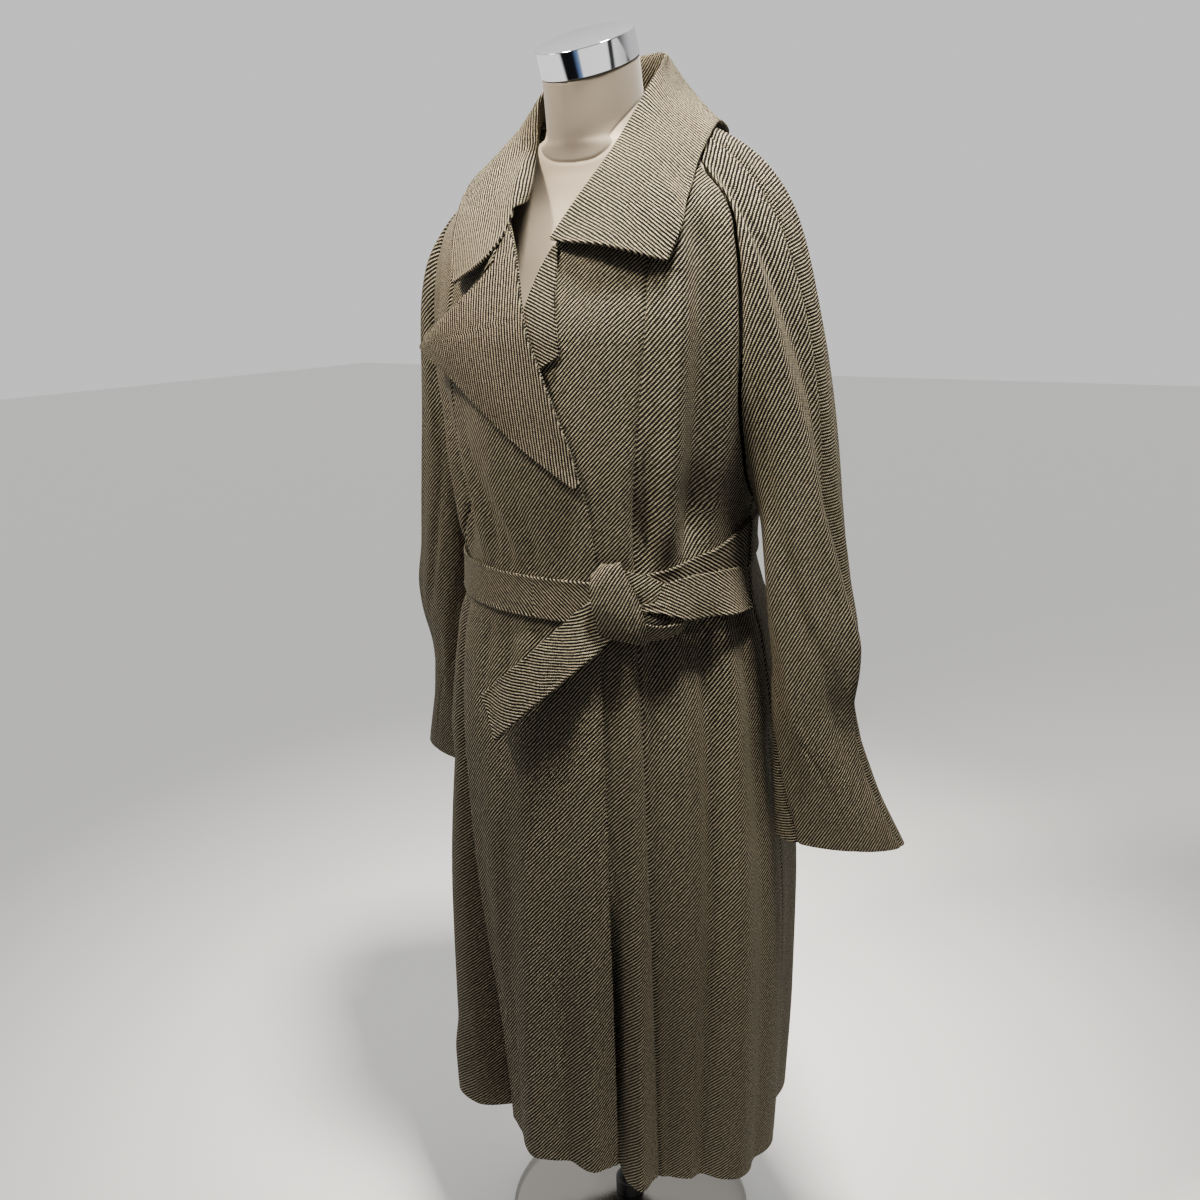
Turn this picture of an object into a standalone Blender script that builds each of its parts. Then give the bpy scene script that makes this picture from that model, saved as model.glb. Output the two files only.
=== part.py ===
"""A belted wrap coat on a limbless dress form. Metres, +Z up, the front faces -Y, the wearer's left is +X.

The body of the coat is one surface round the z axis: every panel, the belt and what lies on them take
their points from it. The sleeves are blended from the raglan seam into rings down the arm.
"""

from collections import namedtuple

import bmesh
import bpy
import mathutils
import numpy as np

COLLECTION = "wrap_coat_on_dress_form"

# Cloth
CLOTH = 0.0020
DOUBLE_CLOTH = 0.0030
SEAM_GAP = 0.0004
SKIN_GAP = 0.0004
MERGE = 0.0001

# Body of the coat
SQUARENESS = 2.3
UNDERARM = 1.115
NECK_SIDE = 1.545
FRONT_TOP = 1.518
HEM = 0.220
HEM_REACH = 0.15
BACK_HEM = 0.235
LEFT_EDGE_HEM = 0.205
RIGHT_EDGE_HEM = 0.240

# Collar
COLLAR_SLACK = 0.0020

# Belt
BELT_WIDTH = 0.050
BELT_PRESS = 0.90
BELT_SLACK = 0.0012
LOOP_WIDTH = 0.009
LOOP_CLOTH = 0.0015
LOOP_ANGLE = 88.0
KNOT_ANGLE = 36.0
KNOT_HEIGHT = 1.018
KNOT_LIFT = 0.0346
KNOT_LEAN = -0.25

# Form and stand
BASE_RADIUS = 0.178
BASE_EDGE = 0.006
BASE_DOME = 0.020
POLE_RADIUS = 0.0125
RING_RADIUS = 0.021
RING_HEIGHT = 0.026
RING_BEVEL = 0.004
CAP_HEIGHT = 0.030
CAP_RADIUS = 0.0575
CAP_TILT = 24.0
CAP_BEVEL = 0.002

Section = namedtuple("Section", "height half_width front_depth back_depth")
BODY = [
    Section(0.200, 0.232, 0.197, 0.184),
    Section(0.400, 0.240, 0.199, 0.190),
    Section(0.550, 0.241, 0.201, 0.190),
    Section(0.800, 0.224, 0.198, 0.180),
    Section(0.950, 0.203, 0.190, 0.166),
    Section(0.990, 0.192, 0.184, 0.156),
    Section(1.045, 0.189, 0.183, 0.153),
    Section(1.090, 0.190, 0.184, 0.152),
    Section(1.180, 0.208, 0.187, 0.150),
    Section(1.300, 0.224, 0.187, 0.146),
    Section(1.380, 0.228, 0.168, 0.138),
    Section(1.420, 0.224, 0.150, 0.128),
    Section(1.450, 0.206, 0.134, 0.118),
    Section(1.478, 0.170, 0.116, 0.108),
    Section(1.515, 0.128, 0.086, 0.092),
    Section(1.545, 0.090, 0.060, 0.072),
    Section(1.560, 0.078, 0.050, 0.064),
]

# A fold runs from its upper to its lower end. Depth is negative for a valley, and angles are in degrees.
Fold = namedtuple("Fold", "top_angle top top_depth low_angle low low_depth half_width")
FOLDS = [
    # skirt, right front
    Fold(8, 0.98, 0.001, -5, 0.20, 0.004, 13),
    Fold(34, 0.94, -0.002, 29, 0.20, -0.026, 9),
    Fold(-34, 0.96, 0.003, -25, 0.20, -0.022, 8),
    Fold(-47, 0.96, -0.012, -33, 0.20, -0.042, 3.7),
    Fold(-60, 0.94, 0.004, -50, 0.20, 0.022, 10),
    Fold(-84, 0.95, -0.004, -76, 0.20, -0.012, 8),
    Fold(-63, 0.74, -0.007, -58, 0.36, -0.008, 16),
    # skirt, left front
    Fold(38, 0.96, 0.004, 37, 0.20, 0.012, 5),
    Fold(48, 0.97, -0.008, 48, 0.20, -0.032, 8),
    Fold(62, 0.97, -0.006, 59, 0.20, -0.006, 3.5),
    Fold(72, 0.95, 0.006, 74, 0.20, 0.012, 8),
    Fold(100, 0.95, -0.004, 104, 0.20, -0.018, 9),
    # skirt, back
    Fold(98, 0.82, -0.008, 98, 0.70, -0.004, 16),
    Fold(124, 0.94, 0.004, 126, 0.20, 0.008, 9),
    Fold(146, 0.94, -0.004, 146, 0.20, -0.016, 9),
    Fold(168, 0.94, 0.004, 166, 0.20, 0.016, 10),
    Fold(192, 0.94, -0.003, 190, 0.20, -0.014, 10),
    Fold(214, 0.94, 0.004, 214, 0.20, 0.018, 10),
    Fold(238, 0.94, -0.004, 240, 0.20, -0.016, 9),
    Fold(258, 0.94, 0.004, 262, 0.20, 0.012, 9),
    # bodice, left front
    Fold(51, 1.42, 0.004, 49, 1.06, 0.006, 5),
    Fold(61, 1.40, -0.012, 59, 1.06, -0.012, 5),
    Fold(37, 1.16, -0.001, 39, 1.05, -0.005, 3),
    # bodice, right front, drawn towards the belt
    Fold(-62, 1.26, 0.004, -44, 1.06, 0.007, 5),
    Fold(-52, 1.22, -0.004, -36, 1.06, -0.006, 5),
    Fold(-34, 1.18, 0.002, -22, 1.05, 0.006, 4),
    Fold(-24, 1.16, -0.002, -12, 1.05, -0.006, 4),
    # bodice, back
    Fold(150, 1.40, 0.003, 148, 1.08, 0.008, 8),
    Fold(180, 1.40, -0.002, 180, 1.08, -0.007, 8),
    Fold(210, 1.40, 0.003, 212, 1.08, 0.008, 8),
]

# Angles, in degrees from the front, of the edges and seams down the body.
Line = namedtuple("Line", "height angle")
RIGHT_EDGE = [
    Line(0.20, 27.7),
    Line(0.60, 27.0),
    Line(1.00, 25.0),
    Line(1.10, 22.5),
    Line(1.18, 17.0),
    Line(1.24, 10.5),
    Line(1.305, 3.0),
    Line(1.39, -6.0),
    Line(1.45, -21.0),
    Line(1.50, -40.0),
    Line(1.53, -52.0),
]
LEFT_EDGE = [
    Line(0.20, 30.0),
    Line(0.40, 31.0),
    Line(0.55, 27.0),
    Line(0.70, 17.0),
    Line(0.90, 3.0),
    Line(1.02, -5.0),
    Line(1.10, -9.0),
    Line(1.20, -9.0),
    Line(1.30, -4.0),
    Line(1.37, 2.0),
    Line(1.41, 9.0),
    Line(1.45, 21.0),
    Line(1.50, 40.0),
    Line(1.53, 52.0),
]
PRINCESS = [
    Line(0.20, 44.0),
    Line(0.74, 40.0),
    Line(1.02, 37.5),
    Line(1.13, 37.0),
    Line(1.30, 40.0),
    Line(1.38, 42.0),
    Line(1.46, 48.0),
    Line(1.515, 58.0),
    Line(1.54, 63.0),
]
RIGHT_PRINCESS = [
    Line(0.20, 33.0),
    Line(0.35, 34.4),
    Line(0.50, 37.8),
    Line(0.62, 41.1),
    Line(0.74, 44.2),
    Line(0.94, 47.0),
    Line(1.02, 46.0),
    Line(1.13, 41.0),
    Line(1.30, 40.0),
    Line(1.38, 42.0),
    Line(1.46, 48.0),
    Line(1.515, 58.0),
    Line(1.54, 63.0),
]
RAGLAN = [
    Line(1.115, 90.0),
    Line(1.130, 84.0),
    Line(1.160, 77.0),
    Line(1.250, 70.0),
    Line(1.400, 68.0),
    Line(1.478, 70.0),
    Line(1.545, 70.5),
]

# Height of the belt's middle round the body.
Course = namedtuple("Course", "angle height")
BELT_LINE = [
    Course(-180, 1.066),
    Course(-135, 1.055),
    Course(-90, 1.030),
    Course(-40, 1.014),
    Course(20, 1.012),
    Course(40, 1.020),
    Course(62, 1.038),
    Course(90, 1.064),
    Course(135, 1.072),
    Course(180, 1.066),
]

# How far the right front stands off the body, over the left front and its lapel.
Lift = namedtuple("Lift", "height lift")
OVERLAP = [
    Lift(0.20, 0.0050),
    Lift(0.90, 0.0044),
    Lift(1.02, 0.0040),
    Lift(1.15, 0.0056),
    Lift(1.26, 0.0090),
    Lift(1.45, 0.0090),
    Lift(1.54, 0.0030),
]

# Arm rings of the left sleeve, from the cuff to the armpit; turn swings the ring's width backwards.
Ring = namedtuple("Ring", "height x y half_width half_depth turn")
ARM = [
    Ring(0.690, 0.3030, 0.013, 0.0780, 0.0360, 18.0),
    Ring(0.780, 0.2800, 0.005, 0.0580, 0.0430, 12.0),
    Ring(0.820, 0.2745, 0.003, 0.0520, 0.0460, 8.0),
    Ring(0.870, 0.2680, 0.002, 0.0480, 0.0510, 4.0),
    Ring(0.930, 0.2690, 0.001, 0.0520, 0.0550, 2.0),
    Ring(1.000, 0.2600, 0.000, 0.0470, 0.0600, 0.0),
    Ring(1.090, 0.2500, 0.000, 0.0430, 0.0640, 0.0),
]
CUFF = ARM[0].height
ARMPIT = ARM[-1].height
ARM_TILT = 0.030
HEAD_SHARE = 0.36
HEAD_FACING = 0.30

# How the sleeve leaves the raglan seam, by the share of the way from the shoulder line to the armpit.
Head = namedtuple("Head", "share reach drop slope")
SLEEVE_HEAD = [
    Head(0.00, 1.02, 1.90, 17.0),
    Head(0.12, 0.80, 1.60, 20.0),
    Head(0.30, 0.50, 1.10, 34.0),
    Head(0.60, 0.50, 1.00, 60.0),
    Head(1.00, 0.50, 1.00, 80.0),
]
NECK_SHARE = 0.10
OVERARM_SEAM = 14.0

# The left sleeve hangs a little forward and the right one back.
ARM_OUT = 0.012
ARM_SWING = 0.024
ARM_RAISE = 0.016

# Collar rows, from the centre back to the left point: neck seam, roll line, middle and edge of the leaf.
Collar = namedtuple("Collar", "seam roll middle edge")
COLLAR_BACK = Collar((0, 0.067, 1.553), (0, 0.052, 1.610), (0, 0.095, 1.568), (0, 0.132, 1.516))
COLLAR_LEFT = [
    Collar((0.058, 0.052, 1.553), (0.052, 0.040, 1.612), (0.082, 0.070, 1.573), (0.104, 0.098, 1.516)),
    Collar((0.082, 0.004, 1.555), (0.075, -0.003, 1.606), (0.094, 0.002, 1.562), (0.139, 0.004, 1.535)),
    Collar((0.0748, -0.0335, 1.549), (0.074, -0.044, 1.570), (0.106, -0.046, 1.538), (0.149, -0.052, 1.503)),
    Collar((0.056, -0.074, 1.510), (0.061, -0.090, 1.510), (0.108, -0.094, 1.500), (0.152, -0.092, 1.462)),
    Collar((0.042, -0.104, 1.474), (0.043, -0.130, 1.458), (0.100, -0.136, 1.452), (0.154, -0.124, 1.418)),
    Collar((0.026, -0.130, 1.424), (0.023, -0.164, 1.410), (0.095, -0.176, 1.402), (0.154, -0.146, 1.384)),
]
COLLAR_RIGHT_TIP = [
    Collar(
        (-0.056, -0.074, 1.510), (-0.056, -0.086, 1.508),
        (-0.108, -0.088, 1.500), (-0.154, -0.090, 1.471),
    ),
    Collar(
        (-0.042, -0.104, 1.474), (-0.041, -0.126, 1.462),
        (-0.094, -0.134, 1.446), (-0.138, -0.136, 1.422),
    ),
    Collar(
        (-0.040, -0.116, 1.456), (-0.036, -0.140, 1.444),
        (-0.080, -0.158, 1.398), (-0.124, -0.166, 1.368),
    ),
]

# Lapel rows, down the roll line: height on the roll, then angle, height and lift of the free edge.
Lapel = namedtuple("Lapel", "roll angle height lift")
RIGHT_LAPEL = [
    Lapel(1.433, -24.5, 1.389, 0.0190),
    Lapel(1.415, -30.0, 1.382, 0.0210),
    Lapel(1.330, -47.4, 1.293, 0.0270),
    Lapel(1.270, -31.5, 1.240, 0.0170),
    Lapel(1.200, -6.0, 1.178, 0.0140),
    Lapel(1.150, 17.0, 1.138, 0.0125),
]
LEFT_LAPEL = [
    Lapel(1.405, 10.5, 1.400, 0.0042),
    Lapel(1.360, 11.0, 1.350, 0.0042),
    Lapel(1.300, 13.5, 1.288, 0.0042),
    Lapel(1.270, 2.0, 1.266, 0.0042),
]

# Folds down a sleeve: turn in degrees from the outside towards the front, start and end along the arm.
SleeveFold = namedtuple("SleeveFold", "start_turn start start_depth end_turn end end_depth half_width")
SLEEVE_FOLDS = [
    SleeveFold(56, 0.14, 0.004, 22, 0.66, 0.007, 26),
    SleeveFold(8, 0.24, -0.003, -24, 0.62, -0.005, 22),
    SleeveFold(-90, 0.20, 0.003, -70, 0.70, 0.006, 28),
]

# Middle line of each belt end, from the knot to its tip.
Strip = namedtuple("Strip", "way angle height lift")
BELT_END_RIGHT = [
    Strip(0.0, 30.0, 1.010, 0.0088),
    Strip(0.2, 21.0, 0.980, 0.0142),
    Strip(0.6, 2.0, 0.915, 0.0260),
    Strip(1.0, -14.5, 0.858, 0.0300),
]
BELT_END_LEFT = [
    Strip(0.0, 40.0, 1.008, 0.0105),
    Strip(0.3, 53.0, 1.013, 0.0190),
    Strip(0.6, 66.0, 1.018, 0.0200),
    Strip(1.0, 81.0, 1.012, 0.0120),
]

# Knot, along it from the wearer's right to the left.
Knot = namedtuple("Knot", "along half_height half_depth drop")
KNOT = [
    Knot(-0.044, 0.012, 0.006, 0.000),
    Knot(-0.040, 0.030, 0.014, 0.002),
    Knot(-0.030, 0.045, 0.021, 0.002),
    Knot(-0.008, 0.053, 0.025, 0.000),
    Knot(0.010, 0.047, 0.024, -0.004),
    Knot(0.018, 0.034, 0.020, -0.004),
    Knot(0.030, 0.030, 0.018, -0.006),
    Knot(0.046, 0.024, 0.014, -0.010),
    Knot(0.054, 0.008, 0.005, -0.012),
]

# Form, from the bottom to the neck; tilt leans the ring forward.
Torso = namedtuple("Torso", "height y half_width half_depth tilt")
TORSO = [
    Torso(0.745, 0.000, 0.120, 0.085, 0),
    Torso(0.750, 0.000, 0.150, 0.105, 0),
    Torso(0.800, 0.000, 0.168, 0.118, 0),
    Torso(0.880, 0.000, 0.168, 0.118, 0),
    Torso(1.040, -0.006, 0.126, 0.094, 0),
    Torso(1.180, -0.012, 0.150, 0.112, 0),
    Torso(1.280, -0.014, 0.168, 0.120, 0),
    Torso(1.380, -0.010, 0.178, 0.100, 0),
    Torso(1.450, -0.008, 0.188, 0.078, 0),
    Torso(1.480, -0.008, 0.180, 0.070, 0),
    Torso(1.500, -0.014, 0.149, 0.066, 2),
    Torso(1.518, -0.022, 0.100, 0.058, 6),
    Torso(1.532, -0.030, 0.064, 0.057, 12),
    Torso(1.550, -0.036, 0.058, 0.058, 18),
    Torso(1.600, -0.0447, 0.0565, 0.0565, 24),
]

# Where the grids of the pieces have their lines: heights for the body, shares of the width across a panel.
SEAM_HEIGHTS = [1.115, 1.16, 1.22, 1.28, 1.34, 1.39, 1.43, 1.462, 1.49, FRONT_TOP, NECK_SIDE]
BELT_HEIGHTS = [0.97, 0.99, 1.015, 1.045, 1.08]
SKIRT_HEIGHTS = [HEM, 0.28, 0.34, 0.41, 0.48, 0.55, 0.62, 0.69, 0.76, 0.83, 0.89, 0.94]
PANEL_HEIGHTS = SKIRT_HEIGHTS + BELT_HEIGHTS + SEAM_HEIGHTS
FROM_SEAM = [0, 0.03, 0.07, 0.11, 0.16, 0.22, 0.3, 0.4, 0.5, 0.6, 0.7, 0.8, 0.9, 1]
TO_SEAM = [0, 0.14, 0.27, 0.4, 0.53, 0.65, 0.76, 0.84, 0.9, 0.95, 1]
ARM_ROWS = [0, 0.04, 0.09, 0.15, 0.21, 0.28, 0.36, 0.44, 0.52, 0.59, 0.66, 0.72, 0.78, 0.84, 0.92, 1]
COLLAR_ROWS = [0, 0.16, 0.27, 0.33, 0.4, 0.52, 0.67, 0.84, 1]

MATERIALS = {
    "twill": ((0.145, 0.122, 0.095), 0.85, 0.0),
    "form_cloth": ((0.560, 0.500, 0.430), 0.75, 0.0),
    "chrome": ((0.780, 0.780, 0.790), 0.12, 1.0),
    "black_ring": ((0.030, 0.030, 0.032), 0.45, 0.0),
    "pole_steel": ((0.640, 0.640, 0.640), 0.30, 1.0),
}


def smooth(rows, name, at):
    """One column of a table, by monotone cubic interpolation over the rows' first column."""
    keys = np.array([row[0] for row in rows], float)
    values = np.array([getattr(row, name) for row in rows], float)
    at = np.clip(at, keys[0], keys[-1])
    steps = np.diff(keys)
    slopes = np.diff(values) / steps
    product = slopes[:-1] * slopes[1:]
    total = np.where(product > 0, slopes[:-1] + slopes[1:], 1.0)
    inner = np.where(product > 0, 2 * product / total, 0.0)
    tangents = np.concatenate([[slopes[0]], inner, [slopes[-1]]])
    index = np.clip(np.searchsorted(keys, at, side="right") - 1, 0, len(steps) - 1)
    step = steps[index]
    part = (at - keys[index]) / step
    rise = part * part * (3 - 2 * part)
    bend_low = part * (1 - part) ** 2 * step * tangents[index]
    bend_high = part * part * (part - 1) * step * tangents[index + 1]
    return values[index] + (values[index + 1] - values[index]) * rise + bend_low + bend_high


def through(points, at):
    """Points at parameters 0 to 1 on a Catmull-Rom curve through a list of point arrays."""
    points = np.asarray(points, float)
    last = len(points) - 1
    index = np.clip((at * last).astype(int), 0, last - 1)
    part = (at * last - index)[..., None]
    before = points[np.maximum(index - 1, 0)]
    start = points[index]
    end = points[index + 1]
    after = points[np.minimum(index + 2, last)]
    cubic = 3 * (start - end) + after - before
    square = 2 * before - 5 * start + 4 * end - after
    return start + 0.5 * part * (end - before + part * (square + part * cubic))


def mix(start, end, part):
    return start + (end - start) * part


def ease(value):
    value = np.clip(value, 0.0, 1.0)
    return value * value * (3 - 2 * value)


def angle_of(line, height):
    return np.radians(smooth(line, "angle", height))


# Body of the coat


def belt_height(angle):
    """Middle of the belt: level at the front, higher at the wearer's left side and back."""
    return smooth(BELT_LINE, "height", (np.degrees(angle) + 180) % 360 - 180)


def fold_depth(angle, height):
    """How far the folds push the body's surface in or out."""
    depth = np.zeros(np.broadcast(angle, height).shape)
    for fold in FOLDS:
        way = (fold.top - height) / (fold.top - fold.low)
        fade = ease(1 + way * 6) * ease(1 + (1 - way) * 6)
        part = ease(way)
        middle = np.radians(mix(fold.top_angle, fold.low_angle, part))
        away = (angle - middle + np.pi) % (2 * np.pi) - np.pi
        shape = np.exp(-((away / np.radians(fold.half_width)) ** 2))
        depth += shape * fade * mix(fold.top_depth, fold.low_depth, part)
    pressed = np.exp(-(((height - belt_height(angle)) / BELT_WIDTH) ** 4))
    return depth * (1 - BELT_PRESS * pressed)


def body(angle, height, lift=0.0):
    """Outer face of the coat's body, moved out by lift."""
    half_width = smooth(BODY, "half_width", height)
    front = smooth(BODY, "front_depth", height)
    back = smooth(BODY, "back_depth", height)
    across = np.abs(np.sin(angle)) / half_width
    along = np.abs(np.cos(angle)) / np.where(np.cos(angle) > 0, front, back)
    radius = (across**SQUARENESS + along**SQUARENESS) ** (-1 / SQUARENESS)
    radius = radius + fold_depth(angle, height) + lift
    return np.stack([radius * np.sin(angle), -radius * np.cos(angle), height + 0 * radius], -1)


def seam_step(height):
    """Half the seam gap, as an angle."""
    return SEAM_GAP / 2 / smooth(BODY, "half_width", height)


def overlap(angle, height):
    """Lift of the right front, full at its edge and none at its princess seam."""
    full = smooth(OVERLAP, "lift", height)
    return full * ease((np.degrees(angle) + 36) / 22)


def panel(low_line, high_line, hem, lift=None):
    """Surface of a body panel between two lines, u across from low to high angle and v its height."""

    def surface(u, v):
        drop = mix(hem[0], hem[1], u) - HEM
        height = v + drop * ease(1 - (v - HEM) / HEM_REACH)
        low = low_line(height) + seam_step(height)
        high = high_line(height) - seam_step(height)
        angle = mix(low, high, u)
        return body(angle, height, lift(angle, height) if lift else 0.0)

    return surface


def left_edge(height):
    return angle_of(LEFT_EDGE, height)


def right_edge(height):
    return angle_of(RIGHT_EDGE, height)


def left_princess(height):
    return angle_of(PRINCESS, height)


def right_princess(height):
    return -angle_of(RIGHT_PRINCESS, height)


def left_side(height):
    """Side seam up to the armpit, then the front raglan seam."""
    return angle_of(RAGLAN, height)


def right_side(height):
    return -left_side(height)


def back_left(height):
    return np.pi - left_side(height)


def back_right(height):
    return np.pi + left_side(height)


# Sleeves


def arm_ring(height, turn):
    """A point of the left arm's tube, turn 0 at its outside and a quarter turn at its front."""
    swing = np.radians(smooth(ARM, "turn", height))
    wide = smooth(ARM, "half_width", height) * np.cos(turn)
    deep = smooth(ARM, "half_depth", height) * np.sin(turn)
    x = smooth(ARM, "x", height) + wide * np.cos(swing) + deep * np.sin(swing)
    y = smooth(ARM, "y", height) + wide * np.sin(swing) - deep * np.cos(swing)
    z = height + ARM_TILT * np.cos(turn) * (height - CUFF) / (ARMPIT - CUFF)
    return np.stack([x, y, z + 0 * x], -1)


def raglan_loop(side, turn):
    """The seam that joins a sleeve to the body: a stretch of neckline, then down to the armpit."""
    turn = (turn + np.pi) % (2 * np.pi) - np.pi
    way = np.abs(turn) / np.pi
    down = np.clip((way - NECK_SHARE) / (1 - NECK_SHARE), 0, 1)
    height = mix(NECK_SIDE, UNDERARM, down)
    seam = np.pi / 2 - angle_of(RAGLAN, height)
    neck = np.minimum(way / NECK_SHARE, 1.0) * seam
    angle = np.pi / 2 - np.sign(turn) * np.maximum(neck - seam_step(height), 0)
    point = body(side * angle, height, SEAM_GAP)
    return point * np.array([side, 1.0, 1.0])


def sleeve(side, first, last):
    """Surface of one sleeve piece, u round from the first seam to the last and v down the arm."""

    def surface(u, v):
        way = np.clip(v / HEAD_SHARE, 0, 1)
        below = np.clip((v - HEAD_SHARE) / (1 - HEAD_SHARE), 0, 1)
        height = mix(ARMPIT, CUFF, below)
        turn = mix(first(v), last(v), u)
        tube = arm_ring(height, turn)
        start = raglan_loop(side, turn)
        end = arm_ring(ARMPIT + 0 * turn, turn)
        reach = np.linalg.norm(end - start, axis=-1)
        share = np.abs((turn + np.pi) % (2 * np.pi) - np.pi) / np.pi
        slope = np.radians(smooth(SLEEVE_HEAD, "slope", share))
        facing = -HEAD_FACING * np.sin(turn)
        out = np.stack([np.cos(slope), facing, -np.sin(slope)], -1)
        out = out * (smooth(SLEEVE_HEAD, "reach", share) * reach)[..., None]
        down = np.array([0.09, 0, -1]) * (smooth(SLEEVE_HEAD, "drop", share) * reach)[..., None]
        way = way[..., None]
        head = (2 * way**3 - 3 * way**2 + 1) * start + (way**3 - 2 * way**2 + way) * out
        head = head + (3 * way**2 - 2 * way**3) * end + (way**3 - way**2) * down
        point = np.where(v[..., None] < HEAD_SHARE, head, tube)
        point = point + sleeve_folds(turn, v)[..., None] * away_from_arm(turn)
        hang = np.clip((NECK_SIDE - point[..., 2:]) / (NECK_SIDE - CUFF), 0, 1) ** 2
        point = point + hang * np.array([ARM_OUT, -side * ARM_SWING, side * ARM_RAISE])
        return point * np.array([side, 1.0, 1.0])

    return surface


def away_from_arm(turn):
    return np.stack([np.cos(turn), -np.sin(turn), 0 * turn], -1)


def sleeve_folds(turn, v):
    depth = np.zeros(np.broadcast(turn, v).shape)
    for fold in SLEEVE_FOLDS:
        way = (v - fold.start) / (fold.end - fold.start)
        fade = ease(1 + way * 4) * ease(1 + (1 - way) * 4)
        middle = np.radians(mix(fold.start_turn, fold.end_turn, ease(way)))
        away = (turn - middle + np.pi) % (2 * np.pi) - np.pi
        shape = np.exp(-((away / np.radians(fold.half_width)) ** 2))
        depth += shape * fade * mix(fold.start_depth, fold.end_depth, ease(way))
    return depth * ease(v * 12)


def overarm(v):
    return np.radians(OVERARM_SEAM) + 0 * v


def overarm_round(v):
    return overarm(v) + 2 * np.pi


def underarm(v):
    """The lower seam leaves the armpit and drifts to the front of the cuff."""
    return np.radians(mix(180, 128, ease((v - 0.45) / 0.55)))


def stepped(seam, sign):
    """A sleeve seam moved by half the gap, and by more where it is bent at the armpit."""
    bend = 0.0006 if seam is underarm else 0.0
    return lambda v: seam(v) + sign * (SEAM_GAP / 2 + bend * ease(1.4 - 2 * v)) / ARM[-1].half_width


# Collar, lapels, belt


def collar_rows():
    left = COLLAR_LEFT[::-1]
    right = [mirrored(row) for row in COLLAR_LEFT[:-3]] + COLLAR_RIGHT_TIP
    return left + [COLLAR_BACK] + right


def mirrored(row):
    return Collar(*[(-point[0], point[1], point[2]) for point in row])


def collar(u, v):
    """Surface of the collar, u from its left end to its right, v from neck seam over roll to edge."""
    rows = collar_rows()
    knots = [through([getattr(row, name) for row in rows], u) for name in Collar._fields]
    return resting(spline_across(knots, v), ease((v - 0.22) * 8))


def resting(point, share):
    """Points moved out by a share of what they sink into the fronts."""
    angle = np.arctan2(point[..., 0], -point[..., 1])
    height = point[..., 2]
    least = body(angle, height, overlap(angle, height) + SKIN_GAP + DOUBLE_CLOTH + COLLAR_SLACK)
    sunk = np.linalg.norm(least[..., :2], axis=-1) - np.linalg.norm(point[..., :2], axis=-1)
    near = ease((np.radians(80) - np.abs(angle)) * 6) * ease((1.53 - height) * 30)
    out = share * near * (sunk + np.sqrt(sunk**2 + COLLAR_SLACK**2)) / 2
    return point + np.stack([out * np.sin(angle), -out * np.cos(angle), 0 * out], -1)


def spline_across(knots, v):
    """Like through, but every knot is an array of points, one for each value of v."""
    last = len(knots) - 1
    knots = np.stack(knots, -2)
    index = np.clip((v * last).astype(int), 0, last - 1)

    def pick(offset):
        chosen = np.clip(index + offset, 0, last)[..., None, None]
        return np.take_along_axis(knots, chosen, axis=-2)[..., 0, :]

    part = (v * last - index)[..., None]
    before, start, end, after = (pick(offset) for offset in (-1, 0, 1, 2))
    cubic = 3 * (start - end) + after - before
    square = 2 * before - 5 * start + 4 * end - after
    return start + 0.5 * part * (end - before + part * (square + part * cubic))


def lapel(rows, edge, base_lift):
    """Surface of a turned-out facing, u down the roll line and v from the roll to the free edge."""

    def surface(u, v):
        at = u * (len(rows) - 1)
        index = np.clip(at.astype(int), 0, len(rows) - 2)
        part = at - index
        row = {name: np.array([getattr(item, name) for item in rows]) for name in Lapel._fields}
        value = {name: mix(column[index], column[index + 1], part) for name, column in row.items()}
        height = mix(value["roll"], value["height"], v)
        angle = mix(edge(value["roll"]), np.radians(value["angle"]), v)
        base = base_lift(angle, height)
        least = base + SKIN_GAP + DOUBLE_CLOTH + 0.0006
        return body(angle, height, mix(least, value["lift"], ease(v * 1.15)))

    return surface


def no_lift(angle, height):
    return 0.0 * angle


def belt_lift(angle, height):
    """Lift of the belt's inner face: over the right front, then down onto the left."""
    around = (angle + np.pi) % (2 * np.pi) - np.pi
    step = ease((right_edge(height) + 0.14 - around) / 0.10)
    return overlap(around, height) * step + SKIN_GAP + BELT_SLACK


def belt(u, v):
    """Surface of the band, u once round and v up its width."""
    angle = mix(0, 2 * np.pi, u)
    height = belt_height(angle) + (v - 0.5) * BELT_WIDTH
    return body(angle, height, belt_lift(angle, height) + DOUBLE_CLOTH)


def strip(rows, width):
    """Surface of a strap laid over the body, u along it and v across."""

    def place(u, v):
        angle = np.radians(smooth(rows, "angle", u))
        height = smooth(rows, "height", u)
        return angle, height, smooth(rows, "lift", u)

    def surface(u, v):
        step = 0.01
        angle, height, lift = place(u, v)
        ahead = place(np.minimum(u + step, 1), v)
        behind = place(np.maximum(u - step, 0), v)
        along = (ahead[0] - behind[0]) * 0.2
        rise = ahead[1] - behind[1]
        length = np.hypot(along, rise)
        across = (v - 0.5) * width
        return body(angle - across * rise / length / 0.2, height + across * along / length, lift)

    return surface


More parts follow.
